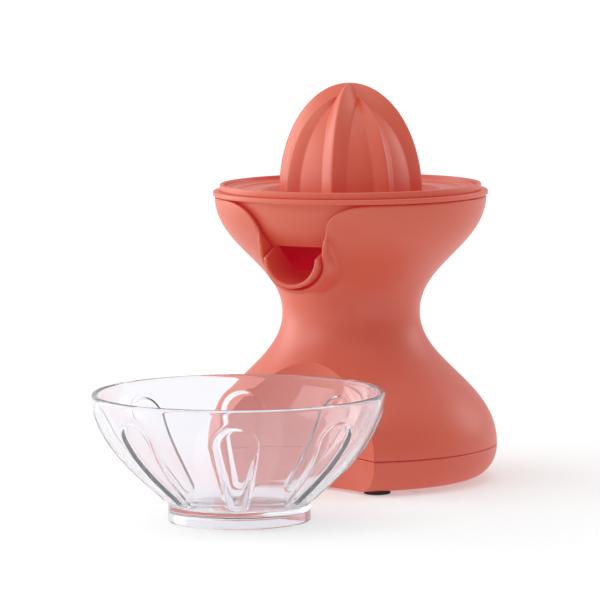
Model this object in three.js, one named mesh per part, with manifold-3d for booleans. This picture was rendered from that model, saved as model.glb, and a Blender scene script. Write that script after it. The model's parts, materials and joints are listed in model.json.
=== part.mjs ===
// Citrus press juicer: an hourglass body with a geared motor, a juice collector with a pouring lip,
// a strainer, a ribbed reamer that drives when it is pressed, and a clear bowl.
// Millimetres, +Z up. The origin is the middle of the base tray's underside; the lip points to -Y.
import * as THREE from "three";
import { mergeVertices } from "three/addons/utils/BufferGeometryUtils.js";
import Module from "manifold-3d";

const wasm = await Module();
wasm.setup();

// ---- Driving dimensions -------------------------------------------------------------------------
const GAP = 0.3; // left between pieces that rest on each other
const ROUND = 40; // sides of a large round piece
const SMALL_ROUND = 12; // sides of a small round piece

// Body of revolution, shared by the housing and the base tray
const BASE_R = 72;
const BASE_FLAT_R = 58;
const SEAM_Z = 16;
const WAIST_R = 34;
const WAIST_Z = 81.5;
const RIM_R = 67;
const RIM_Z = 139.2;
const WALL = 2.4;
const DECK_Z = 97.6; // top of the deck that closes the motor room
const DECK_T = 2.4;

// Clear bowl
const BOWL_R = 68.3;
const BOWL_H = 60;
const BOWL_FOOT_R = 33.3;
const BOWL_FOOT_H = 8.5;
const BOWL_WALL = 2.4;
const BOWL_AT = [16, -142]; // where it stands, in front of the body

// Front recess that the bowl's side nests into
const RECESS_DEPTH_R = 43; // distance of its deepest line from the axis
const RECESS_CLEARANCE = 0.7;

// Pouring lip: a U channel in the collector, in a U collar of the housing
const LIP_R = 15;
const LIP_ABOVE_DECK = 0.7; // room under the U
const LIP_WALL = 1.8;
const LIP_REACH = 62;
const LIP_BACK_Y = -24;
const LIP_TOP_Z = 118;
const LIP_FRONT_DROP = 6;
const LIP_SLOPE = 14; // length of the sloping stretch of its upper edges
const COLLAR_CLEARANCE = 0.9;
const COLLAR_WALL = 2.2;
const COLLAR_REACH = 60.8;
const COLLAR_SETBACK = 3.5; // how far its lower edge stands back from its upper one
const NOTCH_HALF_WIDTH = 43;

// Collector and strainer
const COLLECTOR_CLEARANCE = 1;
const COLLECTOR_WALL = 1.8;
const COLLECTOR_FLOOR_Z = 103;
const FLANGE_R = 67.8;
const FLANGE_T = 2.4;
const STRAINER_R = 64.5;
const STRAINER_RING_H = 3;
const STRAINER_SHELF_R = 54; // the shelf's outer edge, a little below the ring
const STRAINER_STEP = 0.8; // from the shelf up to the ring's foot
const STRAINER_DISH_R = [40, 44]; // foot and top of the slope down to the dish
const STRAINER_DISH_DEPTH = 4.2;
const STRAINER_FLOOR_T = 1.6;
const STRAINER_SKIRT_H = 4.6;
const STRAINER_HUB_H = 10;
const SLOT_COUNT = 20;
const SLOT_WIDTH = 2;
const SLOT_INNER_R = 24;
const SLOT_OUTER_R = 42.5;

// Reamer, and how far it goes down when it is pressed
const PRESS_TRAVEL = 2.5;
const REAMER_R = 36.5;
const REAMER_H = 53.8;
const REAMER_VALLEY_R = 32.5;
const REAMER_VALLEY_H = 45.9;
const REAMER_SHORT_RIB_H = 48.2;
const REAMER_RIB_HALF_WIDTH = 5.8;
const REAMER_SHORT_RIB_HALF_WIDTH = 5.4;
const REAMER_WALL = 2.6;
const REAMER_GAP = 0.5; // left above the strainer's dish when the reamer is pressed
const REAMER_TURN = 13.5; // degrees from the lip to the first tall rib
const REAMER_SOCKET_R = 8;

// Drive shaft, its bush, seal and spring
const SHAFT_R = 4.5;
const SHAFT_CLEARANCE = 0.4;
const SHAFT_BOTTOM_Z = 22;
const SHAFT_IN_REAMER = 33; // from the reamer's foot up to the shaft's top
const JOURNAL_Z = [88, 126];
const BOSS_R = 8.2;
const BOSS_TOP_Z = 118;
const BUSH_WALL = 1.6;
const SPRING_R = 6.6;
const SPRING_WIRE_R = 0.6;
const SPRING_TURNS = 4;
const SPRING_COLLAR_Z = 76;

// Gears: motor pinion, idler (wheel and pinion in one), output gear
const MODULE = 1.25;
const PINION_TEETH = 12;
const IDLER_TEETH = 24;
const OUTPUT_TEETH = 32;
const PRESSURE_ANGLE = THREE.MathUtils.degToRad(25);
const TOOTH_PLAY = 0.24; // taken off each tooth's width
const CENTRE_PLAY = 0.1; // added to each centre distance
const MOTOR_Y = 32;
const OUTPUT_GEAR_T = 6;
const IDLER_WHEEL_T = 5;
const GEAR_SPACE = 2; // between gears that pass over each other, and above the case's floor
const AXLE_R = 2;
const AXLE_CLEARANCE = 0.35;

// Gearbox case, motor and switch
const CASE_LOW_Z = 28;
const CASE_FLOOR_T = 3;
const CASE_WALL = 2;
const CASE_ROOM = 2.4; // from a gear's tips to the case's wall
const COVER_T = 2.5;
const MOTOR_R = 21;
const MOTOR_H = 22;
const MOTOR_WALL = 1.3;
const ROTOR_R = 12;
const SWITCH_SIZE = [20, 12, 14.6];

// Base tray fittings
const FOOT_R = 6.5;
const FOOT_STAND = 1.5; // how far the feet stand out below the tray
const FOOT_POCKET = 1.2;
const FEET_AT = [[-36, -42], [36, -42], [-38, 38], [38, 38]];
const BASE_SCREWS_AT = [[-50, -29], [50, -29], [-44, 30], [44, 30]];
const CASE_POSTS_AT = [[0, -20], [-19, 6], [19, 6]];
const POST_R = 4.6;
const SCREW_R = 1.5;
const SCREW_HEAD_R = 3.2;
const GLAND_Z = 10;
const GLAND_HOLE_R = 3.4;
const GLAND_WALL = 1.6;
const GLAND_FLANGE = [1, 1.5]; // how far it stands out of the neck, and its thickness
const GLAND_SETBACK = 0.8; // from its flange to the tray's wall

// ---- Materials ----------------------------------------------------------------------------------
const finish = (color, roughness, metalness = 0) =>
  new THREE.MeshStandardMaterial({ color, roughness, metalness });
const CORAL = finish(0xe0664f, 0.45);
const RUBBER = finish(0x2b2625, 0.85);
const STEEL = finish(0xb9bcc0, 0.35, 1);
const WHITE_NYLON = finish(0xe9e6dd, 0.5);
const BLACK_PLASTIC = finish(0x33312f, 0.5);
const COPPER = finish(0xa85a32, 0.4, 1);
const CLEAR = new THREE.MeshStandardMaterial({
  color: 0xf3f0f8, roughness: 0.06, transparent: true, opacity: 0.35,
});

// ---- Making solids ------------------------------------------------------------------------------
/** A closed solid from a three.js geometry, with its faces turned outwards. */
function solid(geometry) {
  geometry.deleteAttribute("normal");
  geometry.deleteAttribute("uv");
  const merged = mergeVertices(geometry, 1e-4);
  const points = merged.attributes.position.array;
  const triangles = [];
  let volume = 0;
  for (let i = 0; i < merged.index.count; i += 3) {
    const [a, b, c] = merged.index.array.slice(i, i + 3);
    if (a === b || b === c || c === a) continue;
    triangles.push(a, b, c);
    const [pa, pb, pc] = [a, b, c].map((v) => new THREE.Vector3().fromArray(points, 3 * v));
    volume += pa.dot(pb.cross(pc));
  }
  if (volume < 0) {
    triangles.reverse();
  }
  return new wasm.Manifold(new wasm.Mesh({
    numProp: 3, vertProperties: Float32Array.from(points), triVerts: Uint32Array.from(triangles),
  }));
}

/** Turns a closed [radius, height] outline about +Z. */
function turned(outline, sides = ROUND) {
  const points = outline.map(([r, z]) => new THREE.Vector2(r, z));
  if (points[0].x > 0 || points.at(-1).x > 0) points.push(points[0].clone());
  return solid(new THREE.LatheGeometry(points, sides).rotateX(Math.PI / 2));
}

/** A ring or disc from z low to z high. */
function ring(inner, outer, low, high, sides = SMALL_ROUND) {
  return turned([[inner, low], [outer, low], [outer, high], [inner, high]], sides);
}

const moved = (body, x, y, z = 0) => body.translate([x, y, z]);
const disc = (r, low, high, x = 0, y = 0, sides = SMALL_ROUND) =>
  moved(ring(0, r, low, high, sides), x, y);

/** A flat outline in X and Y raised from z low to z high. */
function raised(points, low, high) {
  const shape = new THREE.Shape(points.map(([x, y]) => new THREE.Vector2(x, y)));
  return solid(new THREE.ExtrudeGeometry(shape, { depth: high - low, bevelEnabled: false })
    .translate(0, 0, low));
}

/** An outline in X and Z drawn out along Y, from y front to y back. */
function drawnOut(points, front, back) {
  const shape = new THREE.Shape(points.map(([x, z]) => new THREE.Vector2(x, z)));
  return solid(new THREE.ExtrudeGeometry(shape, { depth: back - front, bevelEnabled: false })
    .rotateX(Math.PI / 2).translate(0, back, 0));
}

/** An outline in Y and Z drawn out along X, half of it to each side. */
function drawnAcross(points, half) {
  const shape = new THREE.Shape(points.map(([y, z]) => new THREE.Vector2(-y, z)));
  return solid(new THREE.ExtrudeGeometry(shape, { depth: 2 * half, bevelEnabled: false })
    .rotateX(Math.PI / 2).rotateZ(-Math.PI / 2).translate(half, 0, 0));
}

function box(sizeX, sizeY, low, high, x = 0, y = 0) {
  const shape = new THREE.BoxGeometry(sizeX, sizeY, high - low);
  return solid(shape.translate(x, y, (low + high) / 2));
}

const curve = (a, b, c, d, steps) => new THREE.CubicBezierCurve(
  ...[a, b, c, d].map(([x, y]) => new THREE.Vector2(x, y)),
).getPoints(steps).map((p) => [p.x, p.y]);

/** A rising [radius, height] line moved towards the axis by a wall's thickness. */
function inset(line, distance) {
  return line.map(([r, z], i) => {
    const [r0, z0] = line[Math.max(i - 1, 0)];
    const [r1, z1] = line[Math.min(i + 1, line.length - 1)];
    const length = Math.hypot(r1 - r0, z1 - z0);
    return [r - (distance * (z1 - z0)) / length, z + (distance * (r1 - r0)) / length];
  });
}

/** The stretch of a rising line between two heights, with its ends cut to them. */
function between(line, low, high) {
  const at = (z) => {
    const above = line.findIndex((point) => point[1] > z);
    const i = above < 0 ? line.length - 1 : Math.max(above, 1);
    const [[r0, z0], [r1, z1]] = [line[i - 1], line[i]];
    return [r0 + ((r1 - r0) * (z - z0)) / (z1 - z0), z];
  };
  return [at(low), ...line.filter(([, z]) => z > low + 0.4 && z < high - 0.4), at(high)];
}

const juicer = new THREE.Group();

function add(name, body, material) {
  const { vertProperties, triVerts } = body.getMesh();
  const geometry = new THREE.BufferGeometry();
  geometry.setAttribute("position", new THREE.Float32BufferAttribute(vertProperties, 3));
  geometry.setIndex(new THREE.Uint32BufferAttribute(triVerts, 1));
  geometry.computeVertexNormals();
  const mesh = new THREE.Mesh(geometry, material);
  mesh.name = name;
  juicer.add(mesh);
}

// ---- Body lines ---------------------------------------------------------------------------------
const trayLine = curve(
  [BASE_FLAT_R, 0], [BASE_FLAT_R + 8, 0], [BASE_R, 0.4 * SEAM_Z], [BASE_R, SEAM_Z], 5,
);
const skirtLine = curve(
  [BASE_R, SEAM_Z], [BASE_R, SEAM_Z + 30.5], [WAIST_R, WAIST_Z - 26], [WAIST_R, WAIST_Z], 7,
);
const cupLine = curve(
  [WAIST_R, WAIST_Z], [WAIST_R, WAIST_Z + 24], [RIM_R, RIM_Z - 24.7], [RIM_R, RIM_Z], 7,
);
const bodyLine = [...skirtLine, ...cupLine.slice(1)];

const recessR = BOWL_R + RECESS_CLEARANCE;
const recessY = -(RECESS_DEPTH_R + recessR);
const recess = (wall) => disc(recessR + wall, -10, WAIST_Z, 0, recessY, ROUND);

// ---- Heights of the pieces stacked on the rim ---------------------------------------------------
const flangeLow = RIM_Z + GAP;
const flangeTop = flangeLow + FLANGE_T;
const strainerLow = flangeTop + GAP;
const strainerTop = strainerLow + STRAINER_RING_H;
const dishFloor = strainerLow - STRAINER_DISH_DEPTH;
const dishUnder = dishFloor - STRAINER_FLOOR_T;
const reamerLow = dishFloor + PRESS_TRAVEL + REAMER_GAP;
const shaftTop = reamerLow + SHAFT_IN_REAMER;

// ---- Pouring lip outlines -----------------------------------------------------------------------
const lipZ = DECK_Z + LIP_ABOVE_DECK + LIP_R; // height of the centre of the U

/** A U open at the top: a half circle with sides that rise and spread a little. */
function channel(radius, top) {
  const spread = 0.16 * (top - lipZ);
  const points = [[radius + spread, top]];
  for (let i = 0; i <= 10; i += 1) {
    const angle = (Math.PI * i) / 10;
    points.push([radius * Math.cos(angle), lipZ - radius * Math.sin(angle)]);
  }
  return [...points, [-radius - spread, top]];
}

/** The housing's front opening: the U, spreading in an S curve to the rim. */
function notch() {
  const radius = LIP_R + COLLAR_CLEARANCE;
  const sway = curve(
    [radius + 0.4, lipZ + 5.7], [radius + 2.4, RIM_Z - 14.2], [radius + 0.6, RIM_Z],
    [NOTCH_HALF_WIDTH, RIM_Z], 10,
  );
  const side = [[NOTCH_HALF_WIDTH, RIM_Z + 5], ...sway.reverse()];
  const bottom = channel(radius, lipZ + 1).slice(1, -1);
  return [...side, ...bottom, ...side.map(([x, z]) => [-x, z]).reverse()];
}

// ---- Housing and base tray ----------------------------------------------------------------------
function housing() {
  const low = SEAM_Z + GAP;
  const deckUnder = DECK_Z - DECK_T;
  const inner = inset(bodyLine, WALL);
  const motorRoom = turned(
    [[0, low - 5], [BASE_R - WALL, low - 5], ...between(inner, low, deckUnder), [0, deckUnder]],
  ).subtract(recess(WALL));
  const cup = turned(
    [[0, DECK_Z], ...between(inner, DECK_Z, RIM_Z), [RIM_R - WALL, RIM_Z + 5], [0, RIM_Z + 5]],
  );
  const collar = drawnOut(
    channel(LIP_R + COLLAR_CLEARANCE + COLLAR_WALL, lipZ + 14), -COLLAR_REACH, -WAIST_R + 8,
  ).subtract(drawnAcross([
    [-COLLAR_REACH - 1, 0], [-COLLAR_REACH + COLLAR_SETBACK, 0],
    [-COLLAR_REACH + COLLAR_SETBACK, lipZ - 8], [-COLLAR_REACH, lipZ + 3],
    [-COLLAR_REACH - 1, lipZ + 3],
  ], NOTCH_HALF_WIDTH)).intersect(disc(RIM_R, 0, RIM_Z, 0, 0, ROUND));
  const skin = turned([[0, low], ...between(bodyLine, low, RIM_Z), [0, RIM_Z]]);
  let body = skin.add(collar).subtract(cup).subtract(motorRoom).subtract(recess(0))
    .subtract(drawnOut(notch(), -COLLAR_REACH - 20, -WAIST_R - 1));
  body = body.add(disc(BOSS_R, deckUnder, BOSS_TOP_Z))
    .subtract(disc(SHAFT_R + SHAFT_CLEARANCE + BUSH_WALL + GAP, 0, BOSS_TOP_Z + 1));
  for (const [x, y] of BASE_SCREWS_AT) {
    body = body.add(disc(POST_R, low, WAIST_Z, x, y).intersect(skin))
      .subtract(disc(SCREW_R + 0.3, low - 1, low + 14, x, y));
  }
  return body;
}

const trayInner = inset([...trayLine, [BASE_R, SEAM_Z + 4]], WALL);
const glandNeckR = GLAND_HOLE_R + GLAND_WALL;
const glandFlangeR = glandNeckR + GLAND_FLANGE[0];
const glandInside = between(trayInner, GLAND_Z - glandFlangeR, SEAM_Z)[0][0]
  - GLAND_FLANGE[1] - GLAND_SETBACK;

function baseTray() {
  const high = SEAM_Z - GAP / 2;
  const outer = [[0, 0], ...between([...trayLine, [BASE_R, SEAM_Z + 1]], 0, high), [0, high]];
  const room = turned([[0, WALL], ...between(trayInner, WALL, high + 2), [0, high + 2]])
    .subtract(recess(WALL));
  let tray = turned(outer).subtract(room);
  for (const [x, y] of BASE_SCREWS_AT) {
    tray = tray.add(disc(POST_R, 1, high, x, y))
      .subtract(disc(SCREW_R + 0.5, -1, high + 1, x, y))
      .subtract(disc(SCREW_HEAD_R + 0.4, -1, 4, x, y));
  }
  for (const [x, y] of CASE_POSTS_AT) {
    tray = tray.add(disc(POST_R, 1, CASE_LOW_Z - GAP, x, y))
      .subtract(disc(SCREW_R + 0.3, CASE_LOW_Z - 14, CASE_LOW_Z, x, y));
  }
  for (const [x, y] of FEET_AT) {
    tray = tray.subtract(disc(FOOT_R + GAP, -1, FOOT_POCKET + GAP, x, y));
  }
  const glandHole = disc(glandNeckR + GAP, glandInside, BASE_R + 5)
    .rotate([-90, 0, 0]);
  return tray.subtract(moved(glandHole, 0, 0, GLAND_Z)).subtract(recess(0));
}

add("housing", housing(), CORAL);
add("base_tray", baseTray(), CORAL);

FEET_AT.forEach(([x, y], i) => {
  const outline = [
    [0, -FOOT_STAND], [FOOT_R - 0.6, -FOOT_STAND], [FOOT_R, 0.6 - FOOT_STAND], [FOOT_R, FOOT_POCKET],
    [0, FOOT_POCKET],
  ];
  add(`rubber_foot_${i + 1}`, moved(turned(outline, SMALL_ROUND), x, y), RUBBER);
});

/** A pan-head screw standing on its head at z low, or hanging from it when length is negative. */
function screw(x, y, headZ, length) {
  const headT = 2;
  const up = length > 0;
  const head = up ? [headZ - headT, headZ] : [headZ, headZ + headT];
  const shank = up ? [headZ - 0.5, headZ + length] : [headZ + length, headZ + 0.5];
  return disc(SCREW_HEAD_R, ...head, x, y).add(disc(SCREW_R, ...shank, x, y));
}
BASE_SCREWS_AT.forEach(([x, y], i) => {
  add(`base_screw_${i + 1}`, screw(x, y, 4 - GAP, SEAM_Z + 7), STEEL);
});

/** The cord's grommet, in the tray's rear wall. */
function cordGland() {
  const shoulder = glandInside + GLAND_FLANGE[1];
  const outline = [
    [GLAND_HOLE_R, glandInside], [glandFlangeR, glandInside], [glandFlangeR, shoulder],
    [glandNeckR, shoulder], [glandNeckR, BASE_R - 0.6], [glandNeckR - 0.6, BASE_R],
    [GLAND_HOLE_R, BASE_R],
  ];
  return moved(turned(outline, SMALL_ROUND).rotate([-90, 0, 0]), 0, 0, GLAND_Z);
}
add("cord_gland", cordGland(), RUBBER);

// ---- Gears --------------------------------------------------------------------------------------
const outputLow = CASE_LOW_Z + CASE_FLOOR_T + GEAR_SPACE;
const outputHigh = outputLow + OUTPUT_GEAR_T;
const wheelLow = outputHigh + GEAR_SPACE;
const wheelHigh = wheelLow + IDLER_WHEEL_T;
const caseHigh = wheelHigh + GEAR_SPACE;

/** The outline of a spur gear with involute flanks and its first tooth at angle turn. */
function gearOutline(teeth, turn) {
  const pitchR = (MODULE * teeth) / 2;
  const baseR = pitchR * Math.cos(PRESSURE_ANGLE);
  const rootR = pitchR - 1.25 * MODULE;
  const tipR = pitchR + 0.9 * MODULE;
  const involute = (angle) => Math.tan(angle) - angle;
  const halfTooth = Math.PI / (2 * teeth) - TOOTH_PLAY / (2 * pitchR) + involute(PRESSURE_ANGLE);
  const startR = Math.max(baseR, rootR);
  const flank = [];
  for (let i = 0; i <= 2; i += 1) {
    const r = startR + ((tipR - startR) * i) / 2;
    flank.push([r, halfTooth - involute(Math.acos(Math.min(baseR / r, 1)))]);
  }
  if (rootR < startR) flank.unshift([rootR, flank[0][1]]);
  const points = [];
  for (let tooth = 0; tooth < teeth; tooth += 1) {
    const middle = turn + (2 * Math.PI * tooth) / teeth;
    flank.forEach(([r, a]) => points.push([r, middle - a]));
    [...flank].reverse().forEach(([r, a]) => points.push([r, middle + a]));
  }
  return points.map(([r, a]) => [r * Math.cos(a), r * Math.sin(a)]);
}

const halfSum = (a, b) => (MODULE * (a + b)) / 2 + CENTRE_PLAY;
const outputToIdler = halfSum(OUTPUT_TEETH, PINION_TEETH);
const idlerToMotor = halfSum(IDLER_TEETH, PINION_TEETH);
const idlerY = (outputToIdler ** 2 + MOTOR_Y ** 2 - idlerToMotor ** 2) / (2 * MOTOR_Y);
const idlerX = Math.sqrt(outputToIdler ** 2 - idlerY ** 2);
const outputTurn = Math.atan2(idlerY, idlerX);
const idlerPinionTurn = outputTurn + Math.PI + Math.PI / PINION_TEETH;
const idlerWheelTurn = Math.atan2(MOTOR_Y - idlerY, -idlerX);
const motorPinionTurn = idlerWheelTurn + Math.PI + Math.PI / PINION_TEETH;

const hexagon = (r) => Array.from({ length: 6 }, (_, i) => [
  r * Math.cos((Math.PI * i) / 3), r * Math.sin((Math.PI * i) / 3),
]);

function outputGear() {
  return raised(gearOutline(OUTPUT_TEETH, outputTurn), outputLow, outputHigh)
    .add(disc(SHAFT_R + 4, CASE_LOW_Z + CASE_FLOOR_T + GAP, wheelLow - GEAR_SPACE / 2))
    .subtract(raised(hexagon(SHAFT_R + SHAFT_CLEARANCE), outputLow - 5, outputHigh + 5));
}

function idlerGear() {
  const pinion = raised(
    gearOutline(PINION_TEETH, idlerPinionTurn), outputLow - 1, wheelLow + 0.5,
  );
  const wheel = raised(gearOutline(IDLER_TEETH, idlerWheelTurn), wheelLow, wheelHigh);
  const bored = pinion.add(wheel).subtract(disc(AXLE_R + AXLE_CLEARANCE, 0, 60));
  return moved(bored, idlerX, idlerY);
}

function motorPinion() {
  const outline = gearOutline(PINION_TEETH, motorPinionTurn);
  const pinion = raised(outline, wheelLow - 0.5, wheelHigh + 0.5)
    .subtract(disc(AXLE_R + GAP, 0, 60));
  return moved(pinion, 0, MOTOR_Y);
}

add("output_gear", outputGear(), WHITE_NYLON);
add("idler_gear", idlerGear(), WHITE_NYLON);
add("motor_pinion", motorPinion(), STEEL);
const axleTop = caseHigh + GAP + COVER_T / 2;
add("idler_axle", disc(AXLE_R, CASE_LOW_Z + 1.5, axleTop, idlerX, idlerY), STEEL);

// ---- Gearbox case -------------------------------------------------------------------------------
/** The case's outline as a solid: a round room over each gear, shrunk by a wall. */
function caseBlock(shrink, low, high) {
  const rooms = [[OUTPUT_TEETH, 0, 0], [IDLER_TEETH, idlerX, idlerY], [PINION_TEETH, 0, MOTOR_Y]];
  return rooms.map(([teeth, x, y]) => disc(
    (MODULE * (teeth + 2)) / 2 + CASE_ROOM + CASE_WALL - shrink, low, high, x, y, ROUND / 2,
  )).reduce((all, room) => all.add(room));
}

function gearboxCase() {
  let body = caseBlock(0, CASE_LOW_Z, caseHigh)
    .subtract(caseBlock(CASE_WALL, CASE_LOW_Z + CASE_FLOOR_T, caseHigh + 1))
    .subtract(disc(SHAFT_R + 2, 0, caseHigh))
    .subtract(disc(AXLE_R + 1, 0, caseHigh, 0, MOTOR_Y))
    .subtract(disc(AXLE_R + GAP, CASE_LOW_Z + 1.2, caseHigh, idlerX, idlerY));
  for (const [x, y] of CASE_POSTS_AT) body = body.subtract(disc(SCREW_R + 0.3, 0, caseHigh, x, y));
  return body;
}

const coverZ = caseHigh + GAP;
function gearboxCover() {
  return caseBlock(0, coverZ, coverZ + COVER_T)
    .add(disc(SPRING_R + SPRING_WIRE_R + 2.4, coverZ, coverZ + COVER_T + 3))
    .subtract(disc(SPRING_R + SPRING_WIRE_R + 0.6, coverZ + COVER_T, coverZ + COVER_T + 4))
    .subtract(disc(SHAFT_R + SHAFT_CLEARANCE, 0, coverZ + COVER_T + 1))
    .subtract(disc(AXLE_R + GAP, 0, axleTop + GAP, idlerX, idlerY));
}

add("gearbox_case", gearboxCase(), BLACK_PLASTIC);
add("gearbox_cover", gearboxCover(), BLACK_PLASTIC);
CASE_POSTS_AT.forEach(([x, y], i) => {
  const top = CASE_LOW_Z + CASE_FLOOR_T + GAP;
  const head = disc(2.4, top, top + 1.3, x, y);
  add(`case_screw_${i + 1}`, head.add(disc(SCREW_R, top - 14, top + 0.5, x, y)), STEEL);
});

// ---- Motor --------------------------------------------------------------------------------------
const motorHigh = CASE_LOW_Z - GAP;
const motorLow = motorHigh - MOTOR_H;

function motorCan() {
  const [low, high] = [motorLow, motorHigh];
  const can = turned([
    [AXLE_R + 0.6, high - MOTOR_WALL], [MOTOR_R - MOTOR_WALL, high - MOTOR_WALL],
    [MOTOR_R - MOTOR_WALL, low], [MOTOR_R, low], [MOTOR_R, high], [AXLE_R + 0.6, high],
  ], ROUND / 2);
  return moved(can, 0, MOTOR_Y);
}

function motorRotor() {
  const rotor = disc(ROTOR_R, motorLow + 3, motorHigh - 5)
    .add(disc(AXLE_R, motorLow - 1.5, wheelHigh + 1));
  return moved(rotor, 0, MOTOR_Y);
}

add("motor_can", motorCan(), STEEL);
const endCap = ring(AXLE_R + 0.6, MOTOR_R, motorLow - 2, motorLow - GAP, ROUND / 2);
add("motor_end_cap", moved(endCap, 0, MOTOR_Y), BLACK_PLASTIC);
const coils = ring(
  ROTOR_R + 0.8, MOTOR_R - MOTOR_WALL - GAP, motorLow + 1.5, motorHigh - 3, ROUND / 2,
);
add("stator_coils", moved(coils, 0, MOTOR_Y), COPPER);
add("motor_rotor", motorRotor(), STEEL);

// ---- Shaft, spring, bush and seal ---------------------------------------------------------------
function driveShaft() {
  return raised(hexagon(SHAFT_R), SHAFT_BOTTOM_Z, shaftTop)
    .add(disc(SHAFT_R, ...JOURNAL_Z))
    .add(disc(SPRING_R + 1.4, SPRING_COLLAR_Z, SPRING_COLLAR_Z + 2, 0, 0));
}

function returnSpring() {
  const low = coverZ + COVER_T + SPRING_WIRE_R + GAP;
  const high = SPRING_COLLAR_Z - SPRING_WIRE_R - GAP;
  const steps = 10 * SPRING_TURNS;
  const points = Array.from({ length: steps + 1 }, (_, i) => {
    const angle = (2 * Math.PI * SPRING_TURNS * i) / steps;
    return new THREE.Vector3(
      SPRING_R * Math.cos(angle), SPRING_R * Math.sin(angle), low + ((high - low) * i) / steps,
    );
  });
  const section = new THREE.Shape(hexagon(SPRING_WIRE_R).map(([x, y]) => new THREE.Vector2(x, y)));
  return solid(new THREE.ExtrudeGeometry(section, {
    steps, bevelEnabled: false, extrudePath: new THREE.CatmullRomCurve3(points),
  }));
}

add("drive_shaft", driveShaft(), STEEL);
const clipTop = CASE_LOW_Z - 1;
const clip = disc(SHAFT_R + 1.5, clipTop - 1.2, clipTop)
  .subtract(raised(hexagon(SHAFT_R + GAP), clipTop - 3, clipTop + 1));
add("retaining_clip", clip, STEEL);
add("return_spring", returnSpring(), STEEL);
const bushR = SHAFT_R + SHAFT_CLEARANCE;
const bush = ring(bushR, bushR + BUSH_WALL, DECK_Z - DECK_T, BOSS_TOP_Z - 1);
add("shaft_bush", bush, WHITE_NYLON);
const seal = turned([
  [bushR, BOSS_TOP_Z + GAP], [BOSS_R - 0.4, BOSS_TOP_Z + GAP], [BOSS_R - 0.4, BOSS_TOP_Z + 1.8],
  [bushR + 0.8, BOSS_TOP_Z + 3.4], [bushR, BOSS_TOP_Z + 3.4],
], SMALL_ROUND);
add("shaft_seal", seal, RUBBER);

// ---- Switch and wiring block --------------------------------------------------------------------
const switchLow = WALL + GAP;
const switchTop = switchLow + SWITCH_SIZE[2];
const plungerR = 2.5;
const switchBody = box(SWITCH_SIZE[0], SWITCH_SIZE[1], switchLow, switchTop)
  .subtract(disc(plungerR + GAP, switchTop - PRESS_TRAVEL - 4, switchTop + 1));
add("switch_body", switchBody, BLACK_PLASTIC);
const plungerTop = SHAFT_BOTTOM_Z - GAP;
add("switch_plunger", disc(plungerR, switchTop - 3, plungerTop), WHITE_NYLON);
const terminals = [-6, 0, 6].reduce(
  (block, y) => block.subtract(disc(1.6, WALL + 6, WALL + 12, -44, y)),
  box(10, 20, WALL + GAP, WALL + 10, -44, 0),
);
add("terminal_block", terminals, WHITE_NYLON);

// ---- Juice collector ----------------------------------------------------------------------------
const hubR = BOSS_R + 0.4;

function collector() {
  const outer = inset(bodyLine, WALL + COLLECTOR_CLEARANCE);
  const inner = inset(bodyLine, WALL + COLLECTOR_CLEARANCE + COLLECTOR_WALL);
  const floorTop = COLLECTOR_FLOOR_Z + COLLECTOR_WALL;
  const rimInner = RIM_R - WALL - COLLECTOR_CLEARANCE - COLLECTOR_WALL;
  const shell = turned([
    [0, COLLECTOR_FLOOR_Z], ...between(outer, COLLECTOR_FLOOR_Z, flangeLow),
    [FLANGE_R - 0.5, flangeLow], [FLANGE_R, flangeLow + 0.6], [FLANGE_R, flangeTop - 0.6],
    [FLANGE_R - 0.6, flangeTop], [0, flangeTop],
  ]);
  const room = turned([
    [hubR + COLLECTOR_WALL, floorTop], ...between(inner, floorTop, flangeLow),
    [rimInner, flangeTop + 1], [hubR + COLLECTOR_WALL, flangeTop + 1],
  ]);
  const outside = drawnOut(channel(LIP_R, LIP_TOP_Z), -LIP_REACH, LIP_BACK_Y + LIP_WALL);
  const inside = drawnOut(
    channel(LIP_R - LIP_WALL, LIP_TOP_Z), -LIP_REACH - 5, LIP_BACK_Y,
  );
  const slope = drawnAcross([
    [-LIP_REACH - 1, LIP_TOP_Z - LIP_FRONT_DROP], [-LIP_REACH, LIP_TOP_Z - LIP_FRONT_DROP],
    [-LIP_REACH + LIP_SLOPE, LIP_TOP_Z], [-LIP_REACH + LIP_SLOPE, LIP_TOP_Z + 1],
    [-LIP_REACH - 1, LIP_TOP_Z + 1],
  ], 2 * LIP_R);
  return shell.add(outside.subtract(slope)).subtract(room).subtract(inside)
    .subtract(disc(hubR, 0, flangeTop + 1))
    .subtract(disc(hubR + COLLECTOR_WALL + 1, dishUnder - GAP, flangeTop + 1));
}
add("collector", collector(), CORAL);

// ---- Strainer -----------------------------------------------------------------------------------
function strainer() {
  const under = strainerLow - STRAINER_FLOOR_T;
  const skirtLow = strainerLow - STRAINER_SKIRT_H;
  const skirtR = RIM_R - WALL - COLLECTOR_CLEARANCE - COLLECTOR_WALL - 0.6;
  const hub = hubR + 0.4;
  const [dishR, slopeR] = STRAINER_DISH_R;
  const outline = [
    [hub, dishUnder], [dishR, dishUnder], [slopeR, under], [skirtR - 1.6, under],
    [skirtR - 1.6, skirtLow], [skirtR, skirtLow], [skirtR, strainerLow], [STRAINER_R, strainerLow],
    [STRAINER_R, strainerTop], [STRAINER_R - 1.8, strainerTop],
    [STRAINER_R - 2.1, strainerLow + STRAINER_STEP],
    [STRAINER_SHELF_R + 0.8, strainerLow + STRAINER_STEP], [STRAINER_SHELF_R, strainerLow],
    [slopeR, strainerLow], [dishR, dishFloor], [hub + 2, dishFloor],
    [hub + 2, dishFloor + STRAINER_HUB_H], [hub, dishFloor + STRAINER_HUB_H],
  ];
  let body = turned(outline);
  const middle = (SLOT_INNER_R + SLOT_OUTER_R) / 2;
  const slot = box(SLOT_OUTER_R - SLOT_INNER_R, SLOT_WIDTH, dishUnder - 1, strainerTop, middle);
  for (let i = 0; i < SLOT_COUNT; i += 1) {
    body = body.subtract(slot.rotate([0, 0, ((i + 0.5) * 360) / SLOT_COUNT]));
  }
  return body;
}
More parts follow.
